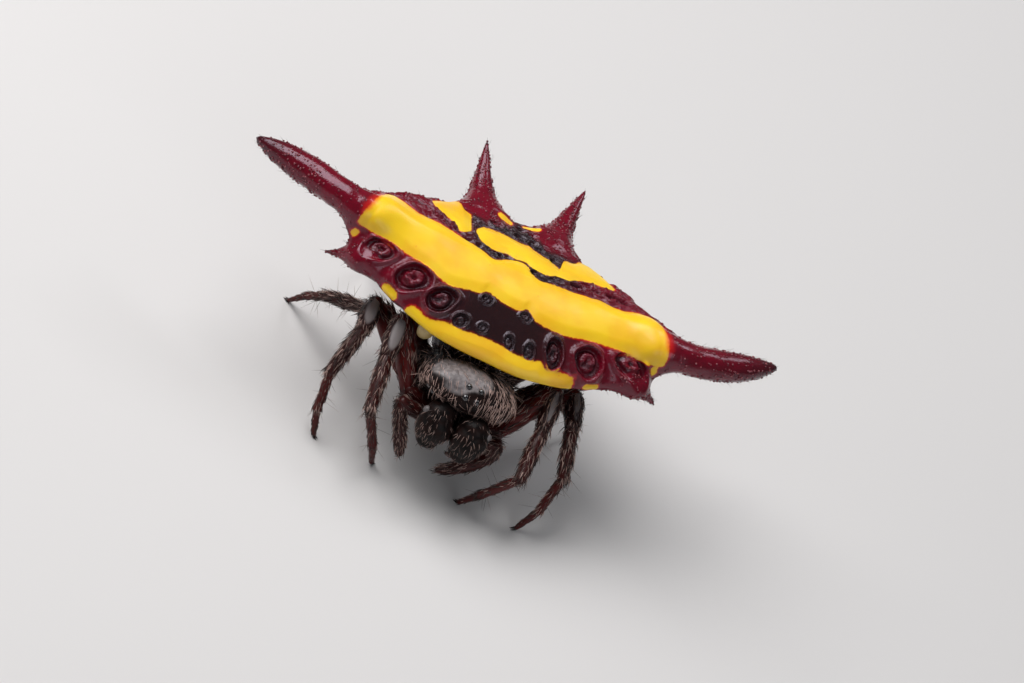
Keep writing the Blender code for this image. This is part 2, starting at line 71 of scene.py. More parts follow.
# %% Sample a form as a closed shell
def lattice_faces(rings, columns):
    """Joins rings of points by quads, and the poles before and after them by fans."""
    here = np.arange(columns)
    following = (here + 1) % columns
    starts = 1 + columns * np.arange(rings - 1)[:, None]
    quads = np.stack([starts + here, starts + following, starts + columns + following,
                      starts + columns + here], axis=-1).reshape(-1, 4)
    last = 1 + columns * (rings - 1)
    first_fan = np.stack([0 * here, 1 + following, 1 + here], axis=-1)
    last_fan = np.stack([0 * here + last + columns, last + here, last + following], axis=-1)
    return [quads, np.concatenate([first_fan, last_fan])]


def shell(form, rows, columns, **fields):
    """Lays rows of points from pole to pole over a form, with columns points around each.

    rows is a count of steps or the shares themselves. Each field is a function of the places,
    the shares along and the shares around, and is kept as one value for each point.
    """
    shares = np.linspace(0.0, 1.0, rows + 1) if np.isscalar(rows) else np.asarray(rows)
    u, v = np.meshgrid(shares[1:-1], np.arange(columns) / columns, indexing="ij")
    u = np.concatenate([[shares[0]], u.ravel(), [shares[-1]]])
    v = np.concatenate([[0.0], v.ravel(), [0.0]])
    points = form(u, v)
    faces = lattice_faces(len(shares) - 2, columns)
    if volume_of(points, faces) < 0.0:
        faces = [part[:, ::-1] for part in faces]
    made = {"points": points, "faces": faces, "fields": {}}
    for name, field in fields.items():
        values = field(points, u, v) if callable(field) else np.full(len(u), float(field))
        made["fields"][name] = values
    return made


def volume_of(points, faces):
    """Sums the signed volume of the wedges from the middle to each face."""
    centred = points - points.mean(axis=0)
    total = 0.0
    for part in faces:
        first = centred[part[:, 0]]
        for corner in range(1, part.shape[1] - 1):
            pair = np.cross(centred[part[:, corner]], centred[part[:, corner + 1]])
            total += (first * pair).sum() / 6.0
    return total


# %% Join shells into one piece
def new_piece(name, shells, material, stands_for=()):
    """Puts shells into one mesh object, in metres, that rides with the spider."""
    offsets = np.cumsum([0] + [len(one["points"]) for one in shells])
    points = np.concatenate([one["points"] for one in shells])
    parts = [part + offset for one, offset in zip(shells, offsets) for part in one["faces"]]
    corners = np.concatenate([part.ravel() for part in parts])
    sizes = np.concatenate([np.full(len(part), part.shape[1]) for part in parts])
    mesh = bpy.data.meshes.new(name)
    mesh.vertices.add(len(points))
    mesh.vertices.foreach_set("co", ((points + STEP_TO_SOLIDS) * MM).ravel())
    mesh.loops.add(len(corners))
    mesh.loops.foreach_set("vertex_index", corners)
    mesh.polygons.add(len(sizes))
    mesh.polygons.foreach_set("loop_start", np.cumsum(sizes) - sizes)
    mesh.update(calc_edges=True)
    mesh.shade_smooth()
    for field in shells[0]["fields"]:
        values = np.concatenate([one["fields"][field] for one in shells])
        layer = mesh.attributes.new(field, "FLOAT", "POINT")
        layer.data.foreach_set("value", values.astype(np.float32))
    if "places_on_skin" in shells[0]:
        spots = np.concatenate([one["places_on_skin"] for one in shells])
        layer = mesh.uv_layers.new(name="OFBake")
        layer.data.foreach_set("uv", spots[corners].astype(np.float32).ravel())
    mesh.materials.append(material)
    piece = bpy.data.objects.new(name, mesh)
    bpy.context.scene.collection.objects.link(piece)
    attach(piece, "root")
    if stands_for:
        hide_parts(*stands_for)
    print(name, "has", int((sizes - 2).sum()), "triangles")


# %% [markdown]
# A few small tools shape everything: a step with soft ends, a hill, a smooth curve through a few
# stations, and layers of smooth random lumps, without which hard shells would look turned.


# %% Steps, hills, curves and lumps
def smooth_step(low, high, value):
    """Climbs from 0 at low to 1 at high, level at both ends."""
    share = np.clip((value - low) / (high - low), 0.0, 1.0)
    return share * share * (3.0 - 2.0 * share)


def hill(value, middle, reach):
    """Is 1 at the middle and falls as e to the minus square of the way from there over reach."""
    return np.exp(-((value - middle) / reach) ** 2)


def soft_least(first, second, reach):
    """Takes the lesser of two values and rounds the corner where they are within reach."""
    share = np.clip(0.5 + 0.5 * (second - first) / reach, 0.0, 1.0)
    return second * (1.0 - share) + first * share - reach * share * (1.0 - share)


def through(stations, places, closed=False, before=None, after=None):
    """Reads a smooth curve through rows of stations at fractional row numbers.

    Between two rows it is a cubic that leaves each of them in the direction from the row before
    it to the row after it. An open curve goes straight on past its ends, or to before and after.
    """
    rows = np.asarray(stations, dtype=float)
    count = len(rows)
    places = np.asarray(places, dtype=float)
    if closed:
        index = np.floor(places).astype(int)
        four = [rows[(index + step) % count] for step in (-1, 0, 1, 2)]
    else:
        first = 2.0 * rows[0] - rows[1] if before is None else np.asarray(before, dtype=float)
        last = 2.0 * rows[-1] - rows[-2] if after is None else np.asarray(after, dtype=float)
        padded = np.concatenate([[first], rows, [last]])
        index = np.clip(np.floor(places).astype(int), 0, count - 2)
        four = [padded[index + step] for step in range(4)]
    p0, p1, p2, p3 = four
    part = places - index
    if rows.ndim > 1:
        part = part[..., None]
    return 0.5 * (2.0 * p1 + (p2 - p0) * part
                  + (2.0 * p0 - 5.0 * p1 + 4.0 * p2 - p3) * part ** 2
                  + (3.0 * p1 - p0 - 3.0 * p2 + p3) * part ** 3)


LATTICE_SIDE = 32
LATTICE = np.random.default_rng(5).random((LATTICE_SIDE,) * 3) * 2.0 - 1.0


def lumps(points, size):
    """Blends random values from -1 to 1 that sit size millimetres apart in all directions."""
    scaled = np.asarray(points) / size
    cell = np.floor(scaled).astype(int)
    part = scaled - cell
    part = part * part * (3.0 - 2.0 * part)
    total = 0.0
    for corner in np.ndindex(2, 2, 2):
        weight = np.prod(np.where(corner, part, 1.0 - part), axis=-1)
        index = (cell + corner) % LATTICE_SIDE
        total = total + weight * LATTICE[index[..., 0], index[..., 1], index[..., 2]]
    return total


def uneven(points, layers):
    """Adds up layers of lumps, each given by its rise and its size."""
    return sum(rise * lumps(points, size) for rise, size in layers)


def unit(vectors):
    """Scales vectors to length 1."""
    return vectors / np.maximum(np.linalg.norm(vectors, axis=-1, keepdims=True), 1e-12)


# %% [markdown]
# To carry hair, grains or relief, a form also has to say where its outside is. The two edges of
# a tiny step along and around it lie in the surface, and their cross product stands square to it.
# What is round about an axis is drawn by arms, which point away from the axis at every angle.

# %% Directions on a form
TINY_SHARE = 0.002
FULL_TURN = 2.0 * math.pi


def arms(turn, across, upward):
    """Adds the cosine of the turn times across and the sine of the turn times upward."""
    return np.cos(turn)[..., None] * across + np.sin(turn)[..., None] * upward


def lie_of(form, u, v):
    """Gives places on a form, the outward directions there and the directions along it."""
    ahead = form(np.minimum(u + TINY_SHARE, 1.0), v)
    along = ahead - form(np.maximum(u - TINY_SHARE, 0.0), v)
    around = form(u, v + TINY_SHARE) - form(u, v - TINY_SHARE)
    outward = unit(np.cross(along, around)) * handedness(form)
    return form(u, v), outward, unit(along)


def handedness(form):
    """Says whether along, around and outward turn left (-1) or right (1) on a form."""
    u, v = np.meshgrid((np.arange(16) + 0.5) / 16, np.arange(16) / 16, indexing="ij")
    places = form(u.ravel(), v.ravel())
    along = form(u.ravel() + TINY_SHARE, v.ravel()) - places
    around = form(u.ravel(), v.ravel() + TINY_SHARE) - places
    return np.sign(((places - places.mean(axis=0)) * np.cross(along, around)).sum())


def scatter(form, count, random, liking=None, rows=60, columns=60):
    """Draws places spread evenly over a form's area, or more where liking is greater."""
    u, v = np.meshgrid((np.arange(rows) + 0.5) / rows, (np.arange(columns) + 0.5) / columns,
                       indexing="ij")
    u, v = u.ravel(), v.ravel()
    along = form(u + 0.5 / rows, v) - form(u - 0.5 / rows, v)
    around = form(u, v + 0.5 / columns) - form(u, v - 0.5 / columns)
    weight = np.linalg.norm(np.cross(along, around), axis=-1)
    if liking is not None:
        weight = weight * np.clip(liking(form(u, v), u, v), 0.0, None)
    cells = random.choice(len(weight), count, p=weight / weight.sum())
    drawn_u = u[cells] + (random.random(count) - 0.5) / rows
    drawn_v = v[cells] + (random.random(count) - 0.5) / columns
    return np.clip(drawn_u, 0.0, 1.0), drawn_v % 1.0


# %% [markdown]
# Hairs, grains and claws are all one thing: a small turned shape, set at many roots at once. Each
# has only a few faces, since there are thousands. A hair also remembers which place of the skin
# it grows from, in a map named OFBake, where each hair is a tiny patch at its root's place. Each
# form has a page of that map to itself.

# %% Set small shapes at many roots
HAIR = [(0.0, 0.0), (0.0, 0.85), (0.35, 1.0), (0.72, 0.62), (1.0, 0.0)]
HAIR_SIDES = 3
BEAD = [(-0.5, 0.0), (0.0, 1.0), (0.62, 0.78), (1.0, 0.0)]
BEAD_SIDES = 6
PATCH = 0.003
PAGE_START = (0.03, 0.02)
PAGE_SHARE = (0.9, 0.95)
FLOOR_HEIGHT = 0.02


def on_page(page, u, v):
    """Gives places on the OFBake map. page is a form's page and how many pages share the map."""
    number, pages = page
    return np.stack([(number + PAGE_START[0] + PAGE_SHARE[0] * v) / pages,
                     PAGE_START[1] + PAGE_SHARE[1] * u], axis=-1)


def above_floor(height):
    """Leaves heights over FLOOR_HEIGHT alone, and lets lower ones approach 0 without reaching it.

    A tip that would sink into the floor lies along it instead, as a real hair would.
    """
    return np.where(height < FLOOR_HEIGHT,
                    FLOOR_HEIGHT * np.exp(np.minimum(height / FLOOR_HEIGHT - 1.0, 0.0)), height)


def sprout(roots, heading, upward, length, radius, profile, sides, bend=0.0, spots=None,
           **fields):
    """Sets one small turned shape at each root.

    A ring of the shape has its middle at root + length (share heading - bend share^2 upward),
    and its points lie at radius times the profile's width from there.
    """
    rows = np.asarray(profile, dtype=float)
    count = len(roots)
    length = np.broadcast_to(length, count)[:, None, None]
    radius = np.broadcast_to(radius, count)[:, None, None, None]
    bend = np.broadcast_to(bend, count)[:, None, None]
    across = unit(np.cross(upward, heading))
    lifted = np.cross(heading, across)
    share = rows[None, :, 0, None]
    middles = roots[:, None] + length * (share * heading[:, None]
                                         - bend * share ** 2 * upward[:, None])
    around = np.arange(sides) / sides
    arm = arms(FULL_TURN * around, across[:, None], lifted[:, None])
    rings = middles[:, 1:-1, None] + radius * rows[None, 1:-1, 1, None, None] * arm[:, None]
    points = np.concatenate([middles[:, :1], rings.reshape(count, -1, 3), middles[:, -1:]],
                            axis=1)
    points[..., 2] = above_floor(points[..., 2])
    size = points.shape[1]
    offsets = size * np.arange(count)[:, None, None]
    made = {"points": points.reshape(-1, 3),
            "faces": [(part + offsets).reshape(-1, part.shape[1])
                      for part in lattice_faces(len(rows) - 2, sides)],
            "fields": {name: np.repeat(np.broadcast_to(value, count), size)
                       for name, value in fields.items()}}
    if spots is not None:
        aside = np.concatenate([[0.5], np.tile(around, len(rows) - 2), [0.5]])
        onward = np.concatenate([[0.0], np.repeat(rows[1:-1, 0], sides), [1.0]])
        patch = PATCH * np.stack([aside, onward], axis=-1)
        made["places_on_skin"] = (spots[:, None] + patch).reshape(-1, 2)
    return made


# %% Let hair grow on a form
LIFT_RANGE = (0.6, 1.4)
LENGTH_RANGE = (0.65, 1.35)
BEND_RANGE = (0.5, 1.5)
TONE_DRIFT = (0.0, 0.15)
ROOT_DEPTH = 0.01


def varied(random, count, between):
    """Draws values spread evenly between a least and a greatest one."""
    return between[0] + (between[1] - between[0]) * random.random(count)


def grow(form, count, random, page, length, radius, lift, flow=None, liking=None, pale=0.6,
         spread=0.25, bend=0.25, tone=(0.0, 1.0)):
    """Draws hairs on a form, lying along it or along a flow.

    They are lifted by the angle lift and swing aside by the angle spread, both in radians. pale
    is the share of hairs with the second tone, and page is the form's page of the OFBake map.
    """
    u, v = scatter(form, count, random, liking)
    roots, outward, along = lie_of(form, u, v)
    if flow is not None:
        along = flow(roots)
    along = unit(along - (along * outward).sum(axis=-1, keepdims=True) * outward)
    aside = np.cross(outward, along)
    swing = random.normal(0.0, spread, count)[:, None]
    tilt = lift * varied(random, count, LIFT_RANGE)[:, None]
    flat = np.cos(swing) * along + np.sin(swing) * aside
    heading = np.cos(tilt) * flat + np.sin(tilt) * outward
    lengths = length * varied(random, count, LENGTH_RANGE)
    tones = np.where(random.random(count) < pale, tone[1], tone[0])
    tones = tones + varied(random, count, TONE_DRIFT)
    return sprout(roots - ROOT_DEPTH * outward, heading, outward, lengths, radius, HAIR,
                  HAIR_SIDES, bend=bend * varied(random, count, BEND_RANGE),
                  spots=on_page(page, u, v), tone=tones)


# %% [markdown]
# ## Camera, floor and light
# The photograph looks down on the spider from the front and a little from its right, with the
# camera rolled, so that the plate runs from upper left to lower right. A long lens far away
# keeps the perspective as flat as a macro lens does.

# %% Set up the camera
AIM = (0.77, 2.82, 4.09)
CAMERA_TURN = math.radians(14.9)
CAMERA_HEIGHT = math.radians(39.06)
CAMERA_ROLL = math.radians(34.5)
CAMERA_DISTANCE = 300.0
PICTURE_WIDTH = 1024
PIXELS_PER_MM = 34.4
VIEW_WIDTH = PICTURE_WIDTH / PIXELS_PER_MM
SENSOR = 36.0
NEAREST_SEEN = 0.01

towards_camera = np.array([-math.cos(CAMERA_HEIGHT) * math.sin(CAMERA_TURN),
                           -math.cos(CAMERA_HEIGHT) * math.cos(CAMERA_TURN),
                           math.sin(CAMERA_HEIGHT)])
level_right = unit(np.cross((0.0, 0.0, 1.0), towards_camera))
level_up = np.cross(towards_camera, level_right)
camera_right = math.cos(CAMERA_ROLL) * level_right + math.sin(CAMERA_ROLL) * level_up
camera_up = math.cos(CAMERA_ROLL) * level_up - math.sin(CAMERA_ROLL) * level_right
camera_place = (np.array(AIM) + STEP_TO_SOLIDS + CAMERA_DISTANCE * towards_camera) * MM

camera = bpy.data.objects.new("camera", bpy.data.cameras.new("camera"))
camera.data.sensor_width = SENSOR
camera.data.lens = SENSOR * CAMERA_DISTANCE / VIEW_WIDTH
camera.data.clip_start = NEAREST_SEEN
camera_matrix = np.eye(4)
camera_matrix[:3] = np.column_stack([camera_right, camera_up, towards_camera, camera_place])
camera.matrix_world = Matrix(camera_matrix)
bpy.context.scene.collection.objects.link(camera)
bpy.context.scene.camera = camera
bpy.context.scene.view_settings.view_transform = "Standard"
print("camera lens, mm:", round(camera.data.lens, 1))

# %% [markdown]
# ## Finishes
# A finish is a Principled shader with a few nodes in front of it. The small class below keeps
# those nodes short to write. Patterns read Object coordinates, scaled to millimetres, so they
# sit still on the animal from every side, or they read a field that was kept with the mesh.


# %% A short way to write nodes
class Finish:
    """One material, with short names for the nodes that it is made of."""

    def __init__(self, name, **constants):
        self.material = bpy.data.materials.new(name)
        self.material.use_nodes = True
        self.tree = self.material.node_tree
        self.shader = self.tree.nodes["Principled BSDF"]
        for socket, value in constants.items():
            self.shader.inputs[socket.replace("_", " ")].default_value = value
        place = self.tree.nodes.new("ShaderNodeTexCoord")
        self.places = self.node("ShaderNodeMapping", {"Vector": place.outputs["Object"],
                                                      "Scale": (1.0 / MM,) * 3})

    def node(self, kind, inputs, output=0, **options):
        """Adds a node, fills or links its inputs, and gives one of its outputs."""
        made = self.tree.nodes.new(kind)
        for option, value in options.items():
            setattr(made, option, value)
        for key, value in inputs.items():
            self.feed(made.inputs[key], value)
        return made.outputs[output]

    def feed(self, socket, value):
        """Links an output to a socket, or sets the socket to a plain value."""
        if isinstance(value, bpy.types.NodeSocket):
            self.tree.links.new(value, socket)
        else:
            socket.default_value = value

    def field(self, name):
        """Reads a value that was kept with the mesh."""
        return self.node("ShaderNodeAttribute", {}, output="Fac", attribute_name=name)

    def noise(self, size, detail=2.0):
        """Gives cloudy noise from 0 to 1 whose lumps are about size millimetres across."""
        return self.node("ShaderNodeTexNoise", {"Vector": self.places, "Scale": 1.0 / size,
                                                "Detail": detail})

    def cells(self, size):
        """Gives the distance to the nearest of many points about size millimetres apart."""
        return self.node("ShaderNodeTexVoronoi", {"Vector": self.places, "Scale": 1.0 / size},
                         output="Distance")

    def step(self, value, low, high, start=0.0, end=1.0):
        """Turns a value into start below low and end above high, with a soft step between."""
        return self.node("ShaderNodeMapRange",
                         {"Value": value, "From Min": low, "From Max": high, "To Min": start,
                          "To Max": end}, interpolation_type="SMOOTHSTEP")

    def sum(self, operation, first, second=0.0):
        """Works out one sum of two values, or of the first alone."""
        return self.node("ShaderNodeMath", {0: first, 1: second}, operation=operation)

    def scaled(self, value, factor, shift=0.0):
        """Multiplies a value by a factor and then adds a shift."""
        return self.node("ShaderNodeMath", {0: value, 1: factor, 2: shift},
                         operation="MULTIPLY_ADD")

    def mix(self, share, first, second):
        """Mixes two colours."""
        return self.node("ShaderNodeMix", {0: share, 6: colour(first), 7: colour(second)},
                         output=2, data_type="RGBA")

    def set(self, socket, value):
        """Feeds one of the shader's own sockets."""
        self.feed(self.shader.inputs[socket], value)

    def bump(self, height, depth, strength=1.0):
        """Adds relief of a depth in millimetres, and gives the tilted surface direction."""
        return self.node("ShaderNodeBump", {"Height": height, "Distance": depth * MM,
                                            "Strength": strength})


def colour(value):
    """Gives a colour of three numbers its fourth, and leaves an output as it is."""
    return (*value, 1.0) if isinstance(value, tuple) else value


def clouded(name, size, first, second, detail=2.0, **constants):
    """Makes a finish whose colour drifts between two, in clouds of a size in millimetres."""
    made = Finish(name, **constants)
    made.set("Base Color", made.mix(made.noise(size, detail), first, second))
    return made


# %% [markdown]
# The floor is a plain pale sheet. Three large soft lamps and a pale sky light it as a studio
# does: a key lamp above, a fill in front and a rim lamp from behind, for the gloss on the plate.

# %% Lay the floor
FLOOR_HALF = 400.0
FLOOR_GAP = 0.002
paper = clouded("studio_paper", 40.0, (0.62, 0.61, 0.60), (0.66, 0.65, 0.64), Roughness=0.85)
floor_mesh = bpy.data.meshes.new("floor")
floor_mesh.from_pydata(
    [(x * FLOOR_HALF * MM, y * FLOOR_HALF * MM, -FLOOR_GAP * MM)
     for x, y in ((-1, -1), (1, -1), (1, 1), (-1, 1))], [], [(0, 1, 2, 3)])
floor_mesh.materials.append(paper.material)
floor = bpy.data.objects.new("floor", floor_mesh)
bpy.context.scene.collection.objects.link(floor)


# %% Hang the lamps
LAMP_AIM = (0.0, 0.0, 3.0)
SKY_TINT = (0.8, 0.84, 0.9)
SKY_STRENGTH = 0.16


def lamp(name, place, size, watts, tint):
    """Hangs a square lamp at a place in millimetres, facing the spider."""
    light = bpy.data.lights.new(name, "AREA")
    light.size = size * MM
    light.energy = watts
    light.color = tint
    holder = bpy.data.objects.new(name, light)
    place = np.array(place)
    back = unit(place - LAMP_AIM)
    across = unit(np.cross((0.0, 0.0, 1.0), back))
    matrix = np.eye(4)
    matrix[:3] = np.column_stack([across, np.cross(back, across), back, place * MM])
    holder.matrix_world = Matrix(matrix)
    bpy.context.scene.collection.objects.link(holder)


lamp("key_lamp", (-58.0, 24.0, 101.0), size=100.0, watts=0.18, tint=(1.0, 0.98, 0.98))
lamp("fill_lamp", (60.0, -120.0, 60.0), size=80.0, watts=0.03, tint=(0.95, 0.97, 1.0))
lamp("rim_lamp", (50.0, 60.0, 102.0), size=44.0, watts=0.026, tint=(0.97, 0.97, 1.0))
sky = bpy.data.worlds.new("sky")
sky.use_nodes = True
sky.node_tree.nodes["Background"].inputs["Color"].default_value = colour(SKY_TINT)
sky.node_tree.nodes["Background"].inputs["Strength"].default_value = SKY_STRENGTH
bpy.context.scene.world = sky

# %% [markdown]
# ## The plate's outline and height
# Seen from above, the plate of the abdomen is a wide lozenge. Its rim is a smooth closed curve
# through a few places on the left half and their mirror images. Every point of the plate then
# lies on a straight line from the middle to the rim, and its height is a domed crown that falls
# to the rim over a rounded shoulder. The belly is a shallow bowl with a blunt cone in the middle.

# %% The rim
RIM_LEFT = [
    (0.0, 1.08, 4.45),
    (1.5, 1.18, 4.45),
    (2.8, 1.6, 4.5),
    (3.9, 2.2, 4.6),
    (4.62, 2.7, 4.7),
    (5.05, 3.2, 5.05),
    (5.15, 3.7, 5.4),
    (4.9, 4.4, 5.4),
    (4.15, 5.17, 5.17),
    (3.1, 5.92, 4.93),
    (1.9, 6.55, 4.72),
    (0.9, 6.98, 4.62),
    (0.0, 7.02, 4.55),
]
PLATE_MIDDLE_Y = 3.9
RIM_STEPS = 2400
SIDES = {"left": 1, "right": -1}


def on_side(places, side):
    """Puts a place of the left side, or rows of them, on the given side."""
    return np.array(places) * (side, 1.0, 1.0)


rim_corners = np.vstack([RIM_LEFT, on_side(RIM_LEFT[-2:0:-1], SIDES["right"])])
rim_curve = through(rim_corners, np.linspace(0.0, len(rim_corners), RIM_STEPS + 1), closed=True)
rim_lengths = np.concatenate(
    [[0.0], np.cumsum(np.linalg.norm(np.diff(rim_curve, axis=0), axis=1))])
print("the rim is", round(rim_lengths[-1], 2), "mm round")


def rim_at(turn):
    """Reads the rim at a share of the way round it, from the front middle by the left side."""
    wanted = np.asarray(turn) % 1.0 * rim_lengths[-1]
    return np.stack([np.interp(wanted, rim_lengths, rim_curve[:, axis]) for axis in range(3)],
                    axis=-1)


# %% The crown and the belly
CROWN_TOP = 5.82
CROWN_Y = 3.7
CROWN_FRONT_FALL = 0.12
CROWN_REAR_SLOPE = 0.2
CROWN_SIDE_RISE = 0.01
SHOULDER_POWER = 3.2
BELLY_LEVEL = 4.05
BELLY_POWER = 2.4
CONE_Y = 4.2
CONE_SIDE_REACH = 1.85
CONE_FRONT_REACH = 1.3
CONE_REAR_REACH = 2.2
CONE_TOP_SHARE = 0.42
CONE_LOWEST = 1.55


def crown_height(x, y):
    """Falls with the square of the way to the front and in a straight line to the rear."""
    ahead = np.clip(CROWN_Y - y, 0.0, None)
    behind = np.clip(y - CROWN_Y, 0.0, None)
    return (CROWN_TOP - CROWN_FRONT_FALL * ahead ** 2 - CROWN_REAR_SLOPE * behind
            + CROWN_SIDE_RISE * x ** 2)


def belly_height(x, y, share, rim_height):
    """Sinks from the rim to a level bowl, and down a blunt cone that reaches furthest back."""
    reach = np.where(y < CONE_Y, CONE_FRONT_REACH, CONE_REAR_REACH)
    out = np.hypot(x / CONE_SIDE_REACH, (y - CONE_Y) / reach)
    level = CONE_LOWEST + (BELLY_LEVEL - CONE_LOWEST) * smooth_step(CONE_TOP_SHARE, 1.0, out)
    tuck = np.sqrt(np.clip(1.0 - np.abs(share) ** BELLY_POWER, 0.0, 1.0))
    return rim_height - (rim_height - level) * tuck


def bare_plate(u, v):
    """Runs from the top's middle (u 0) over the rim (u 0.5) to the belly's middle (u 1).

    The share of the way out to the rim is the sine of half a turn times u, which sets the rows
    closer together where the shoulder bends.
    """
    share = np.sin(math.pi * np.asarray(u))
    rim = rim_at(v)
    x = rim[..., 0] * share
    y = PLATE_MIDDLE_Y + (rim[..., 1] - PLATE_MIDDLE_Y) * share
    shoulder = np.sqrt(np.clip(1.0 - np.abs(share) ** SHOULDER_POWER, 0.0, 1.0))
    top = rim[..., 2] + (crown_height(x, y) - rim[..., 2]) * shoulder
    low = belly_height(x, y, share, rim[..., 2])
    return np.stack([x, y, np.where(np.asarray(u) < 0.5, top, low)], axis=-1)


# %% [markdown]
# ## The markings
# The bands of yellow are stored as distances: how far a point lies inside the nearest yellow
# edge, in millimetres, less than 0 outside. A distance changes evenly from point to point, so the
# edge that the finish draws where it is 0 stays sharp between the mesh's points. Each band lies
# between a front and a rear edge, both smooth curves across the plate.


# %% Edges of the yellow bands
STEPS_BETWEEN = 30


def edge(points):
    """Makes an outline's few points, in order across the plate, into a smooth function of x."""
    rows = np.array(points)
    dense = through(rows, np.linspace(0.0, len(rows) - 1.0, STEPS_BETWEEN * len(rows)))
    return lambda x: np.interp(x, dense[:, 0], dense[:, 1])


main_front = edge([(-5.1, 3.06), (-4.58, 2.97), (-3.91, 2.9), (-3.3, 2.72), (-2.63, 2.57),
                   (-1.94, 2.32), (-1.25, 2.41), (-0.94, 2.45), (-0.73, 2.58), (-0.32, 2.5),
                   (0.03, 2.45), (0.35, 2.46), (0.56, 2.58), (0.87, 2.39), (1.22, 2.34),
                   (1.87, 2.39), (2.63, 2.62), (3.29, 2.74), (3.91, 2.86), (4.62, 2.92),
                   (5.1, 3.04)])
main_rear = edge([(-5.1, 4.98), (-4.27, 4.94), (-3.92, 4.67), (-3.44, 4.32), (-3.1, 4.3),
                  (-2.62, 4.29), (-1.96, 4.16), (-1.36, 4.04), (-0.9, 3.81), (-0.63, 3.91),
                  (-0.31, 4.17), (0.01, 4.32), (0.24, 4.28), (0.42, 3.96), (0.69, 3.78),
                  (1.01, 3.87), (1.65, 3.98), (2.3, 4.08), (2.62, 4.17), (3.27, 4.12),
                  (3.94, 4.42), (4.29, 4.54), (5.1, 4.6)])
small_front = edge([(-1.45, 4.77), (-1.28, 4.51), (-1.0, 4.33), (-0.68, 4.3), (-0.39, 4.45),
                    (-0.16, 4.36), (0.17, 4.43), (0.4, 4.29), (0.67, 4.22), (0.93, 4.26),
                    (1.18, 4.41), (1.57, 4.49), (1.63, 4.54), (1.95, 4.81), (2.28, 4.97),
                    (2.54, 5.08), (3.08, 5.21)])
small_rear = edge([(-1.45, 5.04), (-1.24, 5.34), (-1.01, 5.42), (-0.52, 5.49), (-0.02, 5.44),
                   (0.24, 5.48), (0.47, 5.36), (0.73, 5.26), (0.97, 5.22), (1.17, 5.02),
                   (1.3, 4.97), (1.4, 5.5), (1.52, 5.68), (1.7, 5.74), (1.84, 5.88),
                   (2.0, 6.15), (2.3, 6.35), (2.62, 6.1), (3.15, 5.5)])
right_front = edge([(-2.89, 5.45), (-2.64, 5.15), (-2.41, 4.97), (-2.14, 4.77), (-1.95, 4.46),
                    (-1.63, 4.7)])
right_rear = edge([(-2.89, 5.66), (-2.6, 6.0), (-2.32, 6.3), (-2.07, 6.65), (-1.93, 6.35),
                   (-1.8, 6.0), (-1.6, 5.87)])
roll_rear = edge([(-2.9, 1.53), (-2.66, 1.6), (-2.45, 1.57), (-2.02, 1.41), (-1.52, 1.45),
                  (-1.03, 1.42), (-0.57, 1.45), (0.17, 1.46), (0.69, 1.41), (1.18, 1.44),
                  (1.46, 1.53), (1.72, 1.45), (2.15, 1.56), (2.51, 1.63), (2.8, 1.6)])

# %% Distances to the yellow
EDGE_SLOPE = 0.93
CORNER = 0.16
# Where the main band ends at the spines' roots: half its length at Y 4.6, and the gain forward
BAND_END_RIGHT = (4.4, 0.395)
BAND_END_LEFT = (4.28, 0.45)
BAND_END_Y = 4.6
# Towards the spines the plate is steep, so that the band's front edge is one of height there
STEEP_FROM, STEEP_TO = 3.9, 4.5
EDGE_HEIGHT_RIGHT, EDGE_HEIGHT_LEFT = 5.5, 5.42
UP_THE_SLOPE = (0.28, 0.96)
SMALL_ENDS = (-1.45, 3.12)
RIGHT_ENDS = (-2.88, -1.6)
# The roll of yellow along the front rim, which goes on a little way down below the rim's height
ROLL_ENDS = (-2.85, 2.7)
ROLL_DROP = 0.2
ROLL_RIM_HEIGHT = 4.45
# Lone spots: one end, the other end, and radius
YELLOW_SPOTS = [
    ((-3.46, 1.88, 4.64), (-3.27, 1.78, 4.62), 0.18),
    ((3.1, 1.72, 4.6), (3.38, 1.86, 4.62), 0.11),
    ((-4.93, 2.98, 5.14), (-4.9, 3.0, 5.24), 0.1),
    ((4.84, 2.94, 5.18), (4.8, 2.95, 5.3), 0.1),
    ((-0.67, 6.4, 5.25), (-0.4, 6.42, 5.18), 0.14),
    ((0.24, 6.76, 4.95), (0.52, 6.68, 5.1), 0.13),
]
# Round spots of the belly, on both sides: middle and radius
BELLY_SPOTS = [
    (1.1, 1.75, 4.0, 0.22),
    (2.2, 2.2, 4.02, 0.26),
    (3.3, 2.9, 4.1, 0.26),
    (2.7, 3.5, 4.0, 0.2),
    (3.9, 3.9, 4.4, 0.24),
    (3.2, 4.7, 4.2, 0.26),
    (2.3, 5.4, 4.1, 0.26),
    (1.3, 6.0, 4.1, 0.24),
    (2.3, 4.3, 3.9, 0.18),
]
# A round spot is stored as a long one that is only this long
SHORTEST = 0.01


def between_ends(x, ends):
    """Distance inside two ends across the plate."""
    return soft_least(x - ends[0], ends[1] - x, CORNER)


def between_edges(x, y, front, rear, ends):
    """Distance inside a band between two edges and two ends."""
    inside = soft_least(y - front(x), rear(x) - y, CORNER) * EDGE_SLOPE
    return soft_least(inside, between_ends(x, ends), CORNER)


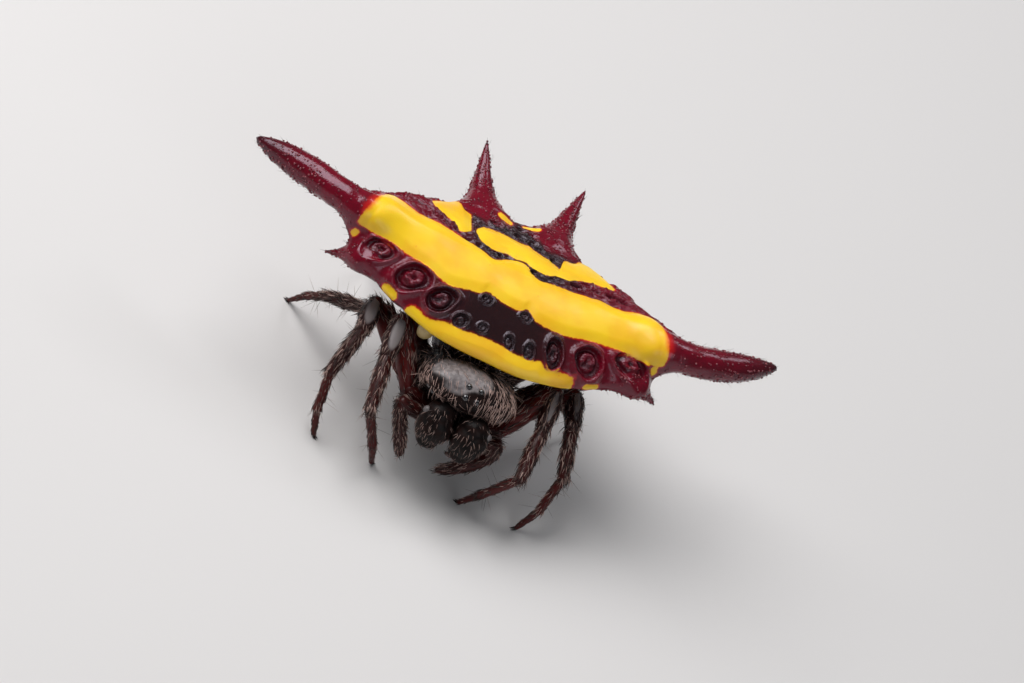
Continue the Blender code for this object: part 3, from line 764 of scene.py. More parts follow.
def main_band(x, y, z):
    """Distance inside the main band, up the slope instead of along it near the spines."""
    steep = smooth_step(STEEP_FROM, STEEP_TO, np.abs(x))
    edge_height = np.where(x < 0.0, EDGE_HEIGHT_RIGHT, EDGE_HEIGHT_LEFT)
    past_front = y - main_front(x)
    up_slope = UP_THE_SLOPE[0] * past_front + UP_THE_SLOPE[1] * (z - edge_height)
    past_front = past_front * EDGE_SLOPE * (1.0 - steep) + up_slope * steep
    inside = soft_least(past_front, (main_rear(x) - y) * EDGE_SLOPE, CORNER)
    end_right = BAND_END_RIGHT[0] + BAND_END_RIGHT[1] * (BAND_END_Y - y)
    end_left = BAND_END_LEFT[0] + BAND_END_LEFT[1] * (BAND_END_Y - y)
    reach = np.where(x < 0.0, end_right, end_left) - np.abs(x)
    return soft_least(inside, reach, CORNER)


def yellow_on_plate(points, u):
    """Distance inside the nearest yellow marking, in millimetres."""
    x, y, z = points[..., 0], points[..., 1], points[..., 2]
    on_top = np.asarray(u) < 0.5
    main = main_band(x, y, z)
    small = between_edges(x, y, small_front, small_rear, SMALL_ENDS)
    right = between_edges(x, y, right_front, right_rear, RIGHT_ENDS)
    found = np.where(on_top, np.maximum(np.maximum(main, small), right), -1.0)
    drop = np.where(on_top, 0.0, ROLL_RIM_HEIGHT - z)
    roll = soft_least(roll_rear(x) - y, between_ends(x, ROLL_ENDS), CORNER)
    found = np.maximum(found, np.minimum(roll, ROLL_DROP - drop))
    spots = YELLOW_SPOTS + [
        (on_side(place, side), on_side(place, side) + (0.0, 0.0, SHORTEST), radius)
        for *place, radius in BELLY_SPOTS for side in SIDES.values()]
    for first, last, radius in spots:
        way = np.subtract(last, first)
        share = np.clip((points - first) @ way / (way @ way), 0.0, 1.0)
        away = np.linalg.norm(points - first - share[..., None] * way, axis=-1)
        found = np.maximum(found, radius - away)
    return found


# %% Where the dark parts turn crimson
BROWN_TO, CRIMSON_FROM = 0.9, 3.1
RAGGED_LUMPS = [(0.25, 0.7)]
BELLY_FROM, BELLY_WHOLE = 0.52, 0.6
BELLY_BROWN = 0.75


def crimson_on_plate(points, u):
    """Is 0 in the brown middle and 1 towards the sides, and less on the belly."""
    ragged = np.abs(points[..., 0]) + uneven(points, RAGGED_LUMPS)
    belly = smooth_step(BELLY_FROM, BELLY_WHOLE, np.asarray(u))
    return smooth_step(BROWN_TO, CRIMSON_FROM, ragged) * (1.0 - BELLY_BROWN * belly)


# %% [markdown]
# ## The finish of the plate
# The real plate is hard and glossy like lacquer. Its yellow is even and deep. Next to the crimson
# each yellow edge glows orange and red, widest where the band runs out onto the side spines, and
# next to the brown it is only finely ragged. The brown and crimson are painted darker in the
# furrows, as painted shade, and finely wrinkled, which breaks up the gloss. Every field comes from
# the mesh, so one finish serves the plate, its spines and their grains.

# %% Mix the plate's finish
YELLOW = (0.93, 0.60, 0.012)
DEEP_YELLOW = (0.86, 0.46, 0.008)
ORANGE = (0.80, 0.13, 0.006)
FRINGE = (0.46, 0.010, 0.008)
BROWN = (0.020, 0.006, 0.006)
CRIMSON = (0.155, 0.0004, 0.010)
NEAR_BLACK = (0.010, 0.003, 0.004)
# Pink that lightens the grains by a random share, a painted highlight
GRAIN_HIGHLIGHT_PINK = (0.34, 0.10, 0.11)
GLOSS_TINT = (0.88, 0.84, 1.0, 1.0)

plate = Finish("plate_cuticle", Coat_Weight=0.1, Coat_Roughness=0.12, Specular_IOR_Level=0.46,
               Specular_Tint=GLOSS_TINT, Subsurface_Weight=0.06, Subsurface_Scale=0.0002)
wavering = plate.scaled(plate.noise(0.1), 0.07, -0.035)
yellow_gap = plate.sum("ADD", plate.field("yellow"), wavering)
glow = plate.field("glow")
gap_in_glows = plate.sum("DIVIDE", yellow_gap, plate.scaled(glow, 0.16, 0.05))
gap_in_edges = plate.sum("DIVIDE", yellow_gap, plate.scaled(glow, 0.03, 0.016))
is_yellow = plate.step(gap_in_edges, -1.0, 1.0)
dark = plate.mix(plate.field("crimson"), BROWN, CRIMSON)
# Painted shade: where a pit's relief sinks below 0, the dark colour goes towards near black
dark = plate.mix(plate.step(plate.field("relief"), -0.06, 0.0, 0.55, 0.0), dark, NEAR_BLACK)
dark = plate.mix(plate.step(plate.noise(0.3, 4.0), 0.35, 0.75, 0.0, 0.28), dark, NEAR_BLACK)
dark = plate.mix(plate.step(plate.field("tip"), 0.45, 1.0, 0.0, 0.8), dark, NEAR_BLACK)
fringe = plate.sum("MULTIPLY", plate.step(gap_in_glows, -1.3, -0.1),
                   plate.step(plate.field("crimson"), 0.1, 0.6, 0.25, 1.0))
dark = plate.mix(fringe, dark, FRINGE)
# Painted highlight: each grain is lightened towards pink by its own random share
dark = plate.mix(plate.field("grain"), dark, GRAIN_HIGHLIGHT_PINK)
light = plate.mix(plate.step(plate.noise(1.1, 3.0), 0.35, 0.75), YELLOW, DEEP_YELLOW)
inner_glow = plate.sum("MULTIPLY", plate.step(gap_in_glows, 0.0, 0.9, 0.9, 0.0),
                       plate.sum("MAXIMUM", glow, 0.25))
light = plate.mix(inner_glow, light, ORANGE)
specks = plate.step(plate.cells(0.55), 0.035, 0.06, 0.35, 0.0)
light = plate.mix(specks, light, ORANGE)
plate.set("Base Color", plate.mix(is_yellow, dark, light))
dark_gloss = plate.step(plate.noise(0.5, 3.0), 0.3, 0.7, 0.14, 0.22)
plate.set("Roughness", plate.sum("ADD", dark_gloss, plate.scaled(is_yellow, 0.2)))
creases = plate.sum("ABSOLUTE", plate.sum("SUBTRACT", plate.noise(0.13, 4.0), 0.5))
fine_relief = plate.sum("ADD", plate.noise(0.05), plate.step(creases, 0.0, 0.16, 0.0, 1.6))
on_dark = plate.sum("MULTIPLY", fine_relief, plate.step(is_yellow, 0.0, 1.0, 1.0, 0.06))
where_wrinkled = plate.sum("ADD", plate.field("wrinkled"), 0.03)
plate.set("Normal", plate.bump(plate.sum("MULTIPLY", on_dark, where_wrinkled), 0.03, 0.9))

# %% [markdown]
# ## Relief of the plate
# Rows of ringed pits mark where muscles hold the plate from inside. Each is a thin raised lip
# around a wide furrow, and inside the furrow an oval island, wrinkled like a walnut, with a
# dimple. The finish paints the furrow and the dimple darker, as painted shade. The yellow parts
# swell a little above the dark ones. The relief is real, in the mesh, pushed out or in along the
# plate's own outward direction.

# %% Places of the ringed pits
# Middle across and along, half length, half width, and slope of the long axis
PITS = [
    (-4.04, 2.69, 0.5, 0.24, -0.2),
    (-2.9, 2.2, 0.56, 0.36, 0.05),
    (-1.93, 1.9, 0.46, 0.32, 0.35),
    (-1.19, 1.6, 0.24, 0.18, 0.2),
    (-0.5, 1.66, 0.16, 0.12, 0.0),
    (0.4, 1.59, 0.21, 0.15, -1.5),
    (1.05, 1.59, 0.25, 0.17, -2.0),
    (1.74, 1.86, 0.42, 0.27, -1.8),
    (2.79, 2.12, 0.47, 0.38, 0.1),
    (4.06, 2.69, 0.6, 0.26, 0.2),
    (-0.66, 2.36, 0.2, 0.13, 0.0),
    (0.58, 2.36, 0.2, 0.13, 0.0),
    (-3.2, 4.95, 0.55, 0.2, -0.42),
    (-2.62, 4.62, 0.4, 0.17, -0.5),
    (-2.0, 4.38, 0.24, 0.12, -0.4),
    (-0.82, 4.12, 0.3, 0.17, -0.2),
    (0.58, 4.05, 0.26, 0.15, 0.0),
    (1.08, 4.1, 0.16, 0.12, 0.1),
    (1.9, 4.34, 0.3, 0.17, 0.15),
    (2.5, 4.5, 0.2, 0.15, 0.2),
    (3.2, 4.56, 0.46, 0.24, 0.15),
    (4.0, 4.8, 0.28, 0.16, 0.3),
    (-3.9, 5.1, 0.26, 0.18, -0.6),
    (-1.5, 5.49, 0.22, 0.2, 0.0),
    (-0.78, 5.84, 0.26, 0.2, 0.0),
    (-0.02, 5.7, 0.26, 0.2, 0.0),
    (0.63, 5.51, 0.2, 0.16, 0.0),
    (1.13, 5.26, 0.18, 0.16, 0.0),
]
# A pit's depth is this share of its half width, but never more than the deepest
PIT_DEPTH = 0.46
PIT_DEEPEST = 0.13
# Heights in a pit's own depth
LIP_HEIGHT, INNER_LIP_HEIGHT, DIMPLE_DEPTH, ISLAND_DEPTH = 0.85, 0.4, 0.9, 0.1
# Shares of the way out to the lip's crest
LIP_REACH_IN, LIP_REACH_OUT = 0.13, 0.22
INNER_LIP, INNER_LIP_REACH, DIMPLE_REACH = 0.6, 0.05, 0.18
FURROW_SLOPES = (0.46, 0.62, 0.8, 0.98)
ISLAND_SLOPE = (0.48, 0.6)
PIT_EDGE = (1.0, 1.5)
PIT_REACH = 1.6
# Rise and size of the pits' own lumps and folds
PIT_WARP = (0.1, 0.3)
ISLAND_FOLDS = (0.42, 0.17)
FINE_FOLDS = (0.12, 0.1)
ELSEWHERE = 3.7
RIDGE_STEEPNESS = 2.5


def ridged(points, layer, stretch=(1.0, 1.0, 1.0)):
    """Makes sharp winding ridges out of the lumps: the layer's rise on each, less between them.

    stretch says how much closer together they lie in each direction.
    """
    rise, size = layer
    return rise * (1.0 - RIDGE_STEEPNESS * np.abs(lumps(points * stretch, size)))


def ring_profile(out, folds):
    """Height of a ringed pit, in its own depth, at a share out from its middle to its lip."""
    lip = LIP_HEIGHT * hill(out, 1.0, np.where(out < 1.0, LIP_REACH_IN, LIP_REACH_OUT))
    inner_lip = INNER_LIP_HEIGHT * hill(out, INNER_LIP, INNER_LIP_REACH)
    furrow = smooth_step(*FURROW_SLOPES[:2], out) * (1.0 - smooth_step(*FURROW_SLOPES[2:], out))
    island = 1.0 - smooth_step(*ISLAND_SLOPE, out)
    dimple = DIMPLE_DEPTH * hill(out, 0.0, DIMPLE_REACH)
    return lip + inner_lip - furrow + island * (folds - ISLAND_DEPTH - dimple)


def pit_relief(points):
    """Adds up the ringed pits over the plate's top, and says where they are."""
    total = np.zeros(points.shape[:-1])
    within = np.zeros(points.shape[:-1])
    warp = uneven(points, [PIT_WARP])
    folds = ridged(points, ISLAND_FOLDS) + ridged(points + ELSEWHERE, FINE_FOLDS)
    for across, along, half_length, half_width, slope in PITS:
        size = math.hypot(1.0, slope)
        dx, dy = points[..., 0] - across, points[..., 1] - along
        long_way = (dx + slope * dy) / size / half_length
        short_way = (dy - slope * dx) / size / half_width
        out = np.hypot(long_way, short_way) * (1.0 + warp)
        depth = min(PIT_DEPTH * half_width, PIT_DEEPEST)
        total += np.where(out < PIT_REACH, depth * ring_profile(out, folds), 0.0)
        within = np.maximum(within, 1.0 - smooth_step(*PIT_EDGE, out))
    return total, within


# %% Add up the relief
SWELL_RISE = 0.06
SWELL_REACH = 0.3
SWELL_START = -0.06
DARK_EDGE = (-0.08, 0.02)
BELLY_SWELL_SHARE = 0.4
# Rise and size of the lumps of the whole plate, the ridges of its top and the folds of its belly
PLATE_LUMPS = [(0.02, 0.9), (0.006, 0.35)]
REAR_RIDGES = (0.08, 0.3)
FINE_RIDGES = (0.014, 0.16)
BELLY_FOLDS = (0.03, 0.55)
BELLY_LUMPS = [(0.015, 0.2)]
REAR_STRETCH = (0.7, 1.6, 1.0)
BELLY_STRETCH = (1.0, 2.0, 1.0)
# The dark rear is rugged, from one place along to another, but smooth beside the rear spines
REAR_FROM, REAR_WHOLE = 3.6, 4.2
REAR_SPINES_AT = (1.2, 6.4)
SMOOTH_TO, RUGGED_FROM = 0.45, 0.9
LEAST_RUGGED = 0.2
# The shoulders rise towards the side spines: middle across and along, reach and rise
SHOULDER_PLACE = (4.45, 3.75)
SHOULDER_REACH = (0.75, 0.6)
SHOULDER_RISE = 0.3


def at_least(least, share):
    """Squeezes shares from 0 to 1 into the range from least to 1."""
    return least + (1.0 - least) * share


def plate_relief(points, u):
    """Height of the relief over the bare plate, in millimetres."""
    on_top = np.asarray(u) < 0.5
    yellow = yellow_on_plate(points, u)
    is_dark = 1.0 - smooth_step(*DARK_EDGE, yellow)
    swell = SWELL_RISE * smooth_step(SWELL_START, SWELL_REACH, yellow)
    everywhere = uneven(points, PLATE_LUMPS)
    pits, within = pit_relief(points)
    aside, y = np.abs(points[..., 0]), points[..., 1]
    from_rear_spines = np.hypot(aside - REAR_SPINES_AT[0], y - REAR_SPINES_AT[1])
    rugged = smooth_step(REAR_FROM, REAR_WHOLE, y) * at_least(
        LEAST_RUGGED, smooth_step(SMOOTH_TO, RUGGED_FROM, from_rear_spines))
    ridges = (ridged(points, REAR_RIDGES, REAR_STRETCH) * rugged
              + ridged(points, FINE_RIDGES) * at_least(LEAST_RUGGED, rugged))
    folds = ridged(points, BELLY_FOLDS, BELLY_STRETCH) + uneven(points, BELLY_LUMPS)
    shoulder = (SHOULDER_RISE * hill(aside, SHOULDER_PLACE[0], SHOULDER_REACH[0])
                * hill(y, SHOULDER_PLACE[1], SHOULDER_REACH[1]))
    top = swell + everywhere + shoulder + is_dark * (pits + ridges * (1.0 - within))
    return np.where(on_top, top, BELLY_SWELL_SHARE * swell + everywhere + folds * is_dark)


# %% [markdown]
# ## The spines
# Two long spines reach out sideways, two stout ones stand up at the rear and two short ones point
# out at the front corners. Each is a round profile carried along a slightly bowed axis. The real
# ones grow out of the plate without a crease. To get that, each point of the plate moves out to
# where the plate and the spine, taken as two soft bodies, would run into each other.

# %% Measures of the spines
# Lean moves the tip and twist the bow, both to opposite sides on the left and the right. Reach is
# how near to a spine the plate begins to rise to it
MEDIAN_SPINE = {"root": (5.06, 3.51, 5.66), "tip": (8.47, 5.0, 5.4), "radius": 0.5,
                "lean": (0.0, 0.12, 0.12), "bow": (0.0, -0.07, -0.03),
                "twist": (0.0, -0.07, -0.09), "reach": 0.55,
                "profile": [(-0.13, 0.4), (-0.09, 0.65), (-0.04, 0.84), (0.0, 0.92), (0.1, 0.96),
                            (0.25, 0.94), (0.4, 0.94), (0.56, 0.9), (0.7, 0.8), (0.82, 0.62),
                            (0.92, 0.38), (0.975, 0.2), (1.0, 0.0)]}
FRONT_SPINE = {"root": (4.62, 2.6, 4.62), "tip": (5.38, 2.84, 4.17), "radius": 0.38,
               "lean": (0.0, 0.0, 0.0), "bow": (0.0, 0.0, 0.05), "twist": (0.0, 0.0, 0.0),
               "reach": 0.5,
               "profile": [(-0.5, 0.7), (-0.2, 0.9), (0.0, 0.85), (0.2, 0.62), (0.4, 0.42),
                           (0.6, 0.28), (0.8, 0.17), (0.93, 0.1), (1.0, 0.0)]}
REAR_SPINE = {"root": (1.17, 6.75, 4.62), "tip": (1.65, 9.01, 5.42), "radius": 0.66,
              "lean": (0.0, -0.04, -0.03), "bow": (0.0, 0.0, -0.05), "twist": (0.0, 0.0, 0.0),
              "reach": 0.65,
              "profile": [(-0.3, 0.8), (-0.1, 1.0), (0.0, 1.02), (0.1, 0.9), (0.2, 0.75),
                          (0.32, 0.58), (0.5, 0.42), (0.7, 0.27), (0.86, 0.15), (0.95, 0.07),
                          (1.0, 0.0)]}
SPINE_KINDS = {"median": MEDIAN_SPINE, "rear": REAR_SPINE, "front": FRONT_SPINE}
SPINE_ROUGHNESS = 0.04
SPINE_ROUGH_SIZE = 0.35
POLE_STEP = 0.02


def spine_axis(measure, side):
    """Gives a spine's root, the way from there to its tip, and how far it bows off that way.

    The two sides aren't alike: lean and twist are added on the left and taken off on the right.
    """
    root = on_side(measure["root"], side)
    tip = on_side(measure["tip"], side) + side * np.array(measure["lean"])
    return root, tip - root, np.array(measure["bow"]) + side * np.array(measure["twist"])


def bowed_line(root, axis, bow, share):
    """Runs along the axis, and off it by the bow times 4 share (1 - share)."""
    inner = np.clip(share, 0.0, 1.0)
    return root + share[..., None] * axis + (4.0 * inner * (1.0 - inner))[..., None] * bow


def spine_form(measure, side):
    """Carries a round profile along the axis of one spine.

    The profile's rows are a share of the length and a share of the root's radius, and the first
    of them lie inside the plate.
    """
    root, axis, bow = spine_axis(measure, side)
    across = unit(np.cross(axis, (0.0, 0.0, 1.0)))
    upward = unit(np.cross(across, axis))
    rows = np.array([(measure["profile"][0][0] - POLE_STEP, 0.0)] + measure["profile"])

    def form(u, v):
        share, radius = np.moveaxis(through(rows, np.asarray(u) * (len(rows) - 1)), -1, 0)
        radius = np.clip(radius, 0.0, None) * measure["radius"]
        arm = arms(FULL_TURN * np.asarray(v), across, upward)
        places = bowed_line(root, axis, bow, share) + radius[..., None] * arm
        rough = radius * SPINE_ROUGHNESS * lumps(places, SPINE_ROUGH_SIZE)
        return places + arm * rough[..., None]
    return form


def distance_to_spine(measure, side):
    """Makes a function that says how far outside one spine a place is, in millimetres."""
    root, axis, bow = spine_axis(measure, side)
    rows = np.array(measure["profile"])

    def distance(points):
        share = np.clip((points - root) @ axis / (axis @ axis), rows[0, 0], 1.0)
        radius = np.interp(share, rows[:, 0], rows[:, 1]) * measure["radius"]
        radius = radius * (1.0 + SPINE_ROUGHNESS * lumps(points, SPINE_ROUGH_SIZE))
        centre = bowed_line(root, axis, bow, share)
        return np.linalg.norm(points - centre, axis=-1) - radius
    return distance


spine_forms = {}
spine_bodies = []
for kind, measure in SPINE_KINDS.items():
    for word, side in SIDES.items():
        spine_forms[kind + "_" + word] = spine_form(measure, side)
        spine_bodies.append((distance_to_spine(measure, side), measure["reach"]))

# %% Let the plate run into its spines
HALVINGS = 14


def rise_to(distance, reach, points, outward):
    """Finds how far out along its own direction each place meets the soft union with a spine.

    The place moved out by t lies t outside the plate and distance outside the spine. The union's
    surface is where the soft least of the two is 0, and halving an interval finds that t.
    """
    rise = np.zeros(points.shape[:-1])
    near = distance(points) < reach
    start, heading = points[near], outward[near]
    low, high = np.zeros(len(start)), np.full(len(start), reach)
    for _ in range(HALVINGS):
        middle = 0.5 * (low + high)
        beside = distance(start + middle[:, None] * heading)
        inside = soft_least(middle, beside, reach) < 0.0
        low, high = np.where(inside, middle, low), np.where(inside, high, middle)
    rise[near] = low
    return rise


def plate_form(u, v):
    """The bare plate, pushed out by its relief and up to the roots of its spines."""
    points = bare_plate(u, v)
    along = bare_plate(np.asarray(u) + TINY_SHARE, v) - bare_plate(np.asarray(u) - TINY_SHARE, v)
    around = bare_plate(u, v + TINY_SHARE) - bare_plate(u, v - TINY_SHARE)
    outward = unit(np.cross(along, around)) * PLATE_HAND
    poles = np.abs(np.asarray(u) - 0.5) > 0.5 - TINY_SHARE
    upright = np.where(np.asarray(u) < 0.5, 1.0, -1.0)[..., None] * np.array([0.0, 0.0, 1.0])
    outward = np.where(poles[..., None], upright, outward)
    raised = points + outward * plate_relief(points, u)[..., None]
    rise = np.zeros(points.shape[:-1])
    for distance, reach in spine_bodies:
        rise = np.maximum(rise, rise_to(distance, reach, raised, outward))
    return raised + outward * rise[..., None]


PLATE_HAND = handedness(bare_plate)

# %% [markdown]
# The fields that the finish reads are worked out from each point's own place. The spines read
# the same ones, so the border of the yellow runs on from the plate to the roots of the spines.

# %% Fields of the plate and its spines
GLOW_ACROSS = (4.3, 4.8)
GLOW_ALONG = (3.0, 3.25)
GLOW_LOWEST = 4.9
ROUND_SPINES = (0.3, 0.6)
WRINKLES_ALONG = (3.6, 4.3)
WRINKLED_PITS, WRINKLED_REAR, WRINKLED_BELLY = 0.25, 0.12, 0.6
SMOOTH_ROUND_SPINES = 0.6


def glow_at(points, u, v):
    """Is 1 where the yellow fades softly into crimson at the side spines' roots."""
    behind = smooth_step(*GLOW_ALONG, points[..., 1]) * (points[..., 2] > GLOW_LOWEST)
    return smooth_step(*GLOW_ACROSS, np.abs(points[..., 0])) * behind


def beside_spines(points):
    """Is 1 near the spines and 0 away from them."""
    nearest = np.min([distance(points) for distance, _ in spine_bodies], axis=0)
    return 1.0 - smooth_step(*ROUND_SPINES, nearest)


def crimson_at(points, u, v):
    """Is 1 at the sides and also round the roots of all spines."""
    return np.maximum(crimson_on_plate(points, u), beside_spines(points))


def wrinkles_at(points, u, v):
    """Is greatest on the belly, less in the ringed pits and on the rear, and 0 at the spines."""
    top = np.maximum(WRINKLED_PITS * pit_relief(points)[1],
                     WRINKLED_REAR * smooth_step(*WRINKLES_ALONG, points[..., 1]))
    found = np.where(np.asarray(u) < 0.5, top, WRINKLED_BELLY)
    for distance, _ in spine_bodies:
        found = found * smooth_step(0.0, SMOOTH_ROUND_SPINES, distance(points))
    return found


plate_fields = {
    "yellow": lambda points, u, v: yellow_on_plate(points, u),
    "crimson": crimson_at,
    "relief": lambda points, u, v: np.where(u < 0.5, pit_relief(points)[0], 0.0),
    "wrinkled": wrinkles_at,
    "glow": glow_at,
    "tip": 0.0}
spine_fields = {
    "yellow": lambda points, u, v: yellow_on_plate(points, 0.0 * u),
    "crimson": lambda points, u, v: 0.0 * u + 1.0,
    "relief": 0.0,
    "wrinkled": 0.02,
    "glow": glow_at}

# %% Make the plate
PLATE_COLUMNS = 600
TOP_ROWS, BELLY_ROWS = 121, 39
plate_rows = np.concatenate([np.linspace(0.0, 0.5, TOP_ROWS + 1),
                             np.linspace(0.5, 1.0, BELLY_ROWS + 1)[1:]])
plate_shell = shell(plate_form, plate_rows, PLATE_COLUMNS, **plate_fields)
new_piece("abdomen_plate", [plate_shell], plate.material, ["abdomen"])

# %% Make the spines
for name, form in spine_forms.items():
    if name.startswith("median"):
        made = shell(form, 130, 64, tip=lambda points, u, v: u, **spine_fields)
    else:
        made = shell(form, 90, 56, tip=0.0, **spine_fields)
    new_piece("spine_" + name, [made], plate.material, ["abdomen"])

# %% [markdown]
# ## Grains and bristles
# The crimson parts carry small round grains, thickest on the spines, and beside one grain in four
# stands a fine bristle that leans towards the tip. Each grain's colour is lightened towards pink
# by a random share, a painted highlight for the bright point of light that it catches.

# %% Mix the finish of the hair
PALE_HAIR = (0.54, 0.38, 0.33)
DARK_HAIR = (0.009, 0.005, 0.005)
hair = Finish("setae", Roughness=0.38, Specular_IOR_Level=0.2)
hair_shade = hair.mix(hair.step(hair.noise(0.3), 0.3, 0.7, 0.0, 0.4), PALE_HAIR,
                      (0.26, 0.13, 0.10))
hair.set("Base Color", hair.mix(hair.field("tone"), DARK_HAIR, hair_shade))

# %% Shape grains and bristles
GRAIN_RADIUS = 0.034
GRAIN_RANGE = (0.6, 1.2)
# Least and greatest share of the painted pink highlight on a grain
GRAIN_HIGHLIGHT_SHARES = (0.0, 0.7)
BRISTLE_RADIUS = 0.004
BRISTLE_LENGTH = 0.24
BRISTLE_BEND = 0.1
BRISTLE_TONES = (0.0, 0.1)
BRISTLED_SHARE = 0.25
# The six spines, the plate's top and its belly each have a page of the map
BRISTLE_PAGES = 8
grain_random = np.random.default_rng(11)


def grains_at(roots, outward, along, crimson, tip):
    """Sets a grain at each root."""
    sizes = GRAIN_RADIUS * varied(grain_random, len(roots), GRAIN_RANGE)
    return sprout(roots, outward, along, sizes, sizes, BEAD, BEAD_SIDES, yellow=-1.0,
                  crimson=crimson, relief=0.0, wrinkled=0.0, glow=0.0, tip=tip,
                  grain=varied(grain_random, len(roots), GRAIN_HIGHLIGHT_SHARES))


def bristles_at(roots, heading, outward, lengths, spots):
    """Sets a bristle at the first of the roots, as many as the bristled share."""
    few = slice(int(len(roots) * BRISTLED_SHARE))
    return sprout(roots[few], heading[few], outward[few], lengths[few], BRISTLE_RADIUS, HAIR,
                  HAIR_SIDES, bend=BRISTLE_BEND, spots=spots[few],
                  tone=varied(grain_random, len(roots), BRISTLE_TONES)[few])


# %% Set the grains and bristles of the spines
GRAINS_ON_SPINES = {"median": 330, "rear": 230, "front": 70}
BRISTLE_LIFT = 0.6
BRISTLE_SWING = 0.15
BRISTLE_RANGE = (0.6, 1.3)
grains, bristles = [], []
for number, (name, form) in enumerate(spine_forms.items()):
    count = GRAINS_ON_SPINES[name.split("_")[0]]
    u, v = scatter(form, count, grain_random, lambda points, u, v: smooth_step(0.3, 0.6, u))
    roots, outward, along = lie_of(form, u, v)
    grains.append(grains_at(roots, outward, along, 1.0, u))
    swing = BRISTLE_SWING * grain_random.normal(size=(count, 3))
    lengths = BRISTLE_LENGTH * varied(grain_random, count, BRISTLE_RANGE)
    bristles.append(bristles_at(roots, unit(along + BRISTLE_LIFT * outward + swing), outward,
                                lengths, on_page((number, BRISTLE_PAGES), u, v)))

# %% Set the grains and bristles of the plate
GRAINS_ON_PLATE = 620
GRAINLESS_EDGE = 0.08
GRAINS_END = 0.56
GRAINS_AT_ROOTS = 3.0
PLATE_HEART = (0.0, PLATE_MIDDLE_Y, 5.0)
PLATE_BRISTLE_LEAN = 0.8
PLATE_BRISTLE_SWING = 0.2
BELLY_BRISTLES = 500


def grainy(points, u, v):
    """Is more than 0 where grains grow: the margins, the rear and, most, round the spines."""
    x, y = np.abs(points[..., 0]), points[..., 1]
    margin = smooth_step(0.36, 0.44, u) * smooth_step(2.6, 3.6, x)
    rear = smooth_step(0.3, 0.4, u) * smooth_step(4.6, 5.2, y)
    here = np.maximum(np.maximum(margin, rear), GRAINS_AT_ROOTS * beside_spines(points))
    return here * (yellow_on_plate(points, u) < -GRAINLESS_EDGE) * (u < GRAINS_END)


u, v = scatter(plate_form, GRAINS_ON_PLATE, grain_random, grainy, rows=90, columns=180)
roots, outward, along = lie_of(plate_form, u, v)
grains.append(grains_at(roots, outward, along, crimson_at(roots, u, v), 0.0))
swing = PLATE_BRISTLE_SWING * grain_random.normal(size=(len(u), 3))
heading = unit(outward + PLATE_BRISTLE_LEAN * unit(roots - PLATE_HEART) + swing)
bristles.append(bristles_at(roots, heading, outward, BRISTLE_LENGTH * (0.5 + 0.6 * u),
                            on_page((6, BRISTLE_PAGES), u, v)))
bristles.append(grow(plate_form, BELLY_BRISTLES, grain_random, (7, BRISTLE_PAGES), length=0.22,
                     radius=0.008, lift=0.6, pale=0.3, tone=(0.05, 0.6),
                     liking=lambda points, u, v: smooth_step(0.56, 0.62, u) * (u < 0.97)))
new_piece("grains", grains, plate.material)
new_piece("bristles", bristles, hair.material)

# %% [markdown]
# Two pale knobs of the belly bulge out under the front rim, one on each side of the stalk. The
# left one sits higher, behind the rim.

# %% Make the pale knobs
KNOB_PLACES = [(1.88, 1.92, 4.3), (-1.88, 1.56, 4.16)]
KNOB_RADII = (0.25, 0.2, 0.33)
KNOB_LUMPS = [(0.06, 0.5)]
knob_finish = clouded("knob_cream", 0.15, (0.55, 0.44, 0.20), (0.34, 0.22, 0.09), detail=3.0,
                      Roughness=0.32, Coat_Weight=0.2)


def ball(u, v):
    """Gives places on a ball of radius 1, from its top at u 0 to its foot at u 1."""
    polar, turn = math.pi * np.asarray(u), FULL_TURN * np.asarray(v)
    return np.stack([np.sin(polar) * np.cos(turn), np.sin(polar) * np.sin(turn),
                     np.cos(polar)], axis=-1)


def knob_form(place):
    """A ball scaled to three half lengths, slightly uneven."""
    def form(u, v):
        scale = 1.0 + uneven(ball(u, v) + place, KNOB_LUMPS)
        return place + ball(u, v) * KNOB_RADII * scale[..., None]
    return form


knobs = [shell(knob_form(place), 28, 32) for place in KNOB_PLACES]
new_piece("belly_knobs", knobs, knob_finish.material)

# %% [markdown]
# ## Head and thorax
# The head is broad, high and rounded, and nearly black. It is a series of sections across the
# body, each a wide dome above and a narrow keel below, read as one smooth curve from front to
# rear. Low bumps carry the eyes, with a hollow between the middle bump and each corner.

# %% Sections of the head and thorax
# Place along the body, half width, top and bottom
CARAPACE = [
    (-0.08, 0.0, 3.54, 3.54),
    (0.0, 0.95, 3.76, 3.3),
    (0.18, 1.22, 3.95, 3.12),
    (0.45, 1.38, 4.08, 2.95),
    (0.75, 1.45, 4.1, 2.5),
    (1.05, 1.47, 4.05, 2.08),
    (1.45, 1.46, 3.9, 1.92),
    (1.9, 1.4, 3.66, 1.9),
    (2.35, 1.15, 3.35, 1.98),
    (2.7, 0.75, 3.05, 2.15),
    (2.9, 0.0, 2.65, 2.65),
]
CARAPACE_BEFORE = (0.0, -0.95, 3.32, 3.78)
CARAPACE_AFTER = (2.7, -0.75, 2.25, 3.15)
WIDEST_SHARE = 0.57
KEEL_POWER = 1.8
# Bumps and hollows of the head: middle, radius and rise
HEAD_BUMPS = [
    ((0.0, 0.02, 3.84), 0.34, 0.07),
    ((1.12, 0.1, 3.38), 0.24, 0.09),
    ((-1.12, 0.1, 3.38), 0.24, 0.09),
    ((0.66, 0.08, 3.68), 0.24, -0.08),
    ((-0.66, 0.08, 3.68), 0.24, -0.08),
    ((0.0, 1.75, 3.75), 0.3, -0.07),
]
HEAD_LUMPS = [(0.02, 0.3), (0.01, 0.12)]
HEAD_HEART = (0.0, 1.2, 3.1)
# The groove between head and thorax: its place, its slant to the rear, half width and depth
GROOVE_Y, GROOVE_SLANT, GROOVE_WIDTH, GROOVE_DEPTH = 1.35, 0.35, 0.09, 0.045
GROOVE_HEIGHTS = (3.2, 3.5)
DOME_SIDE_POWER, DOME_TOP_POWER = 0.85, 0.9


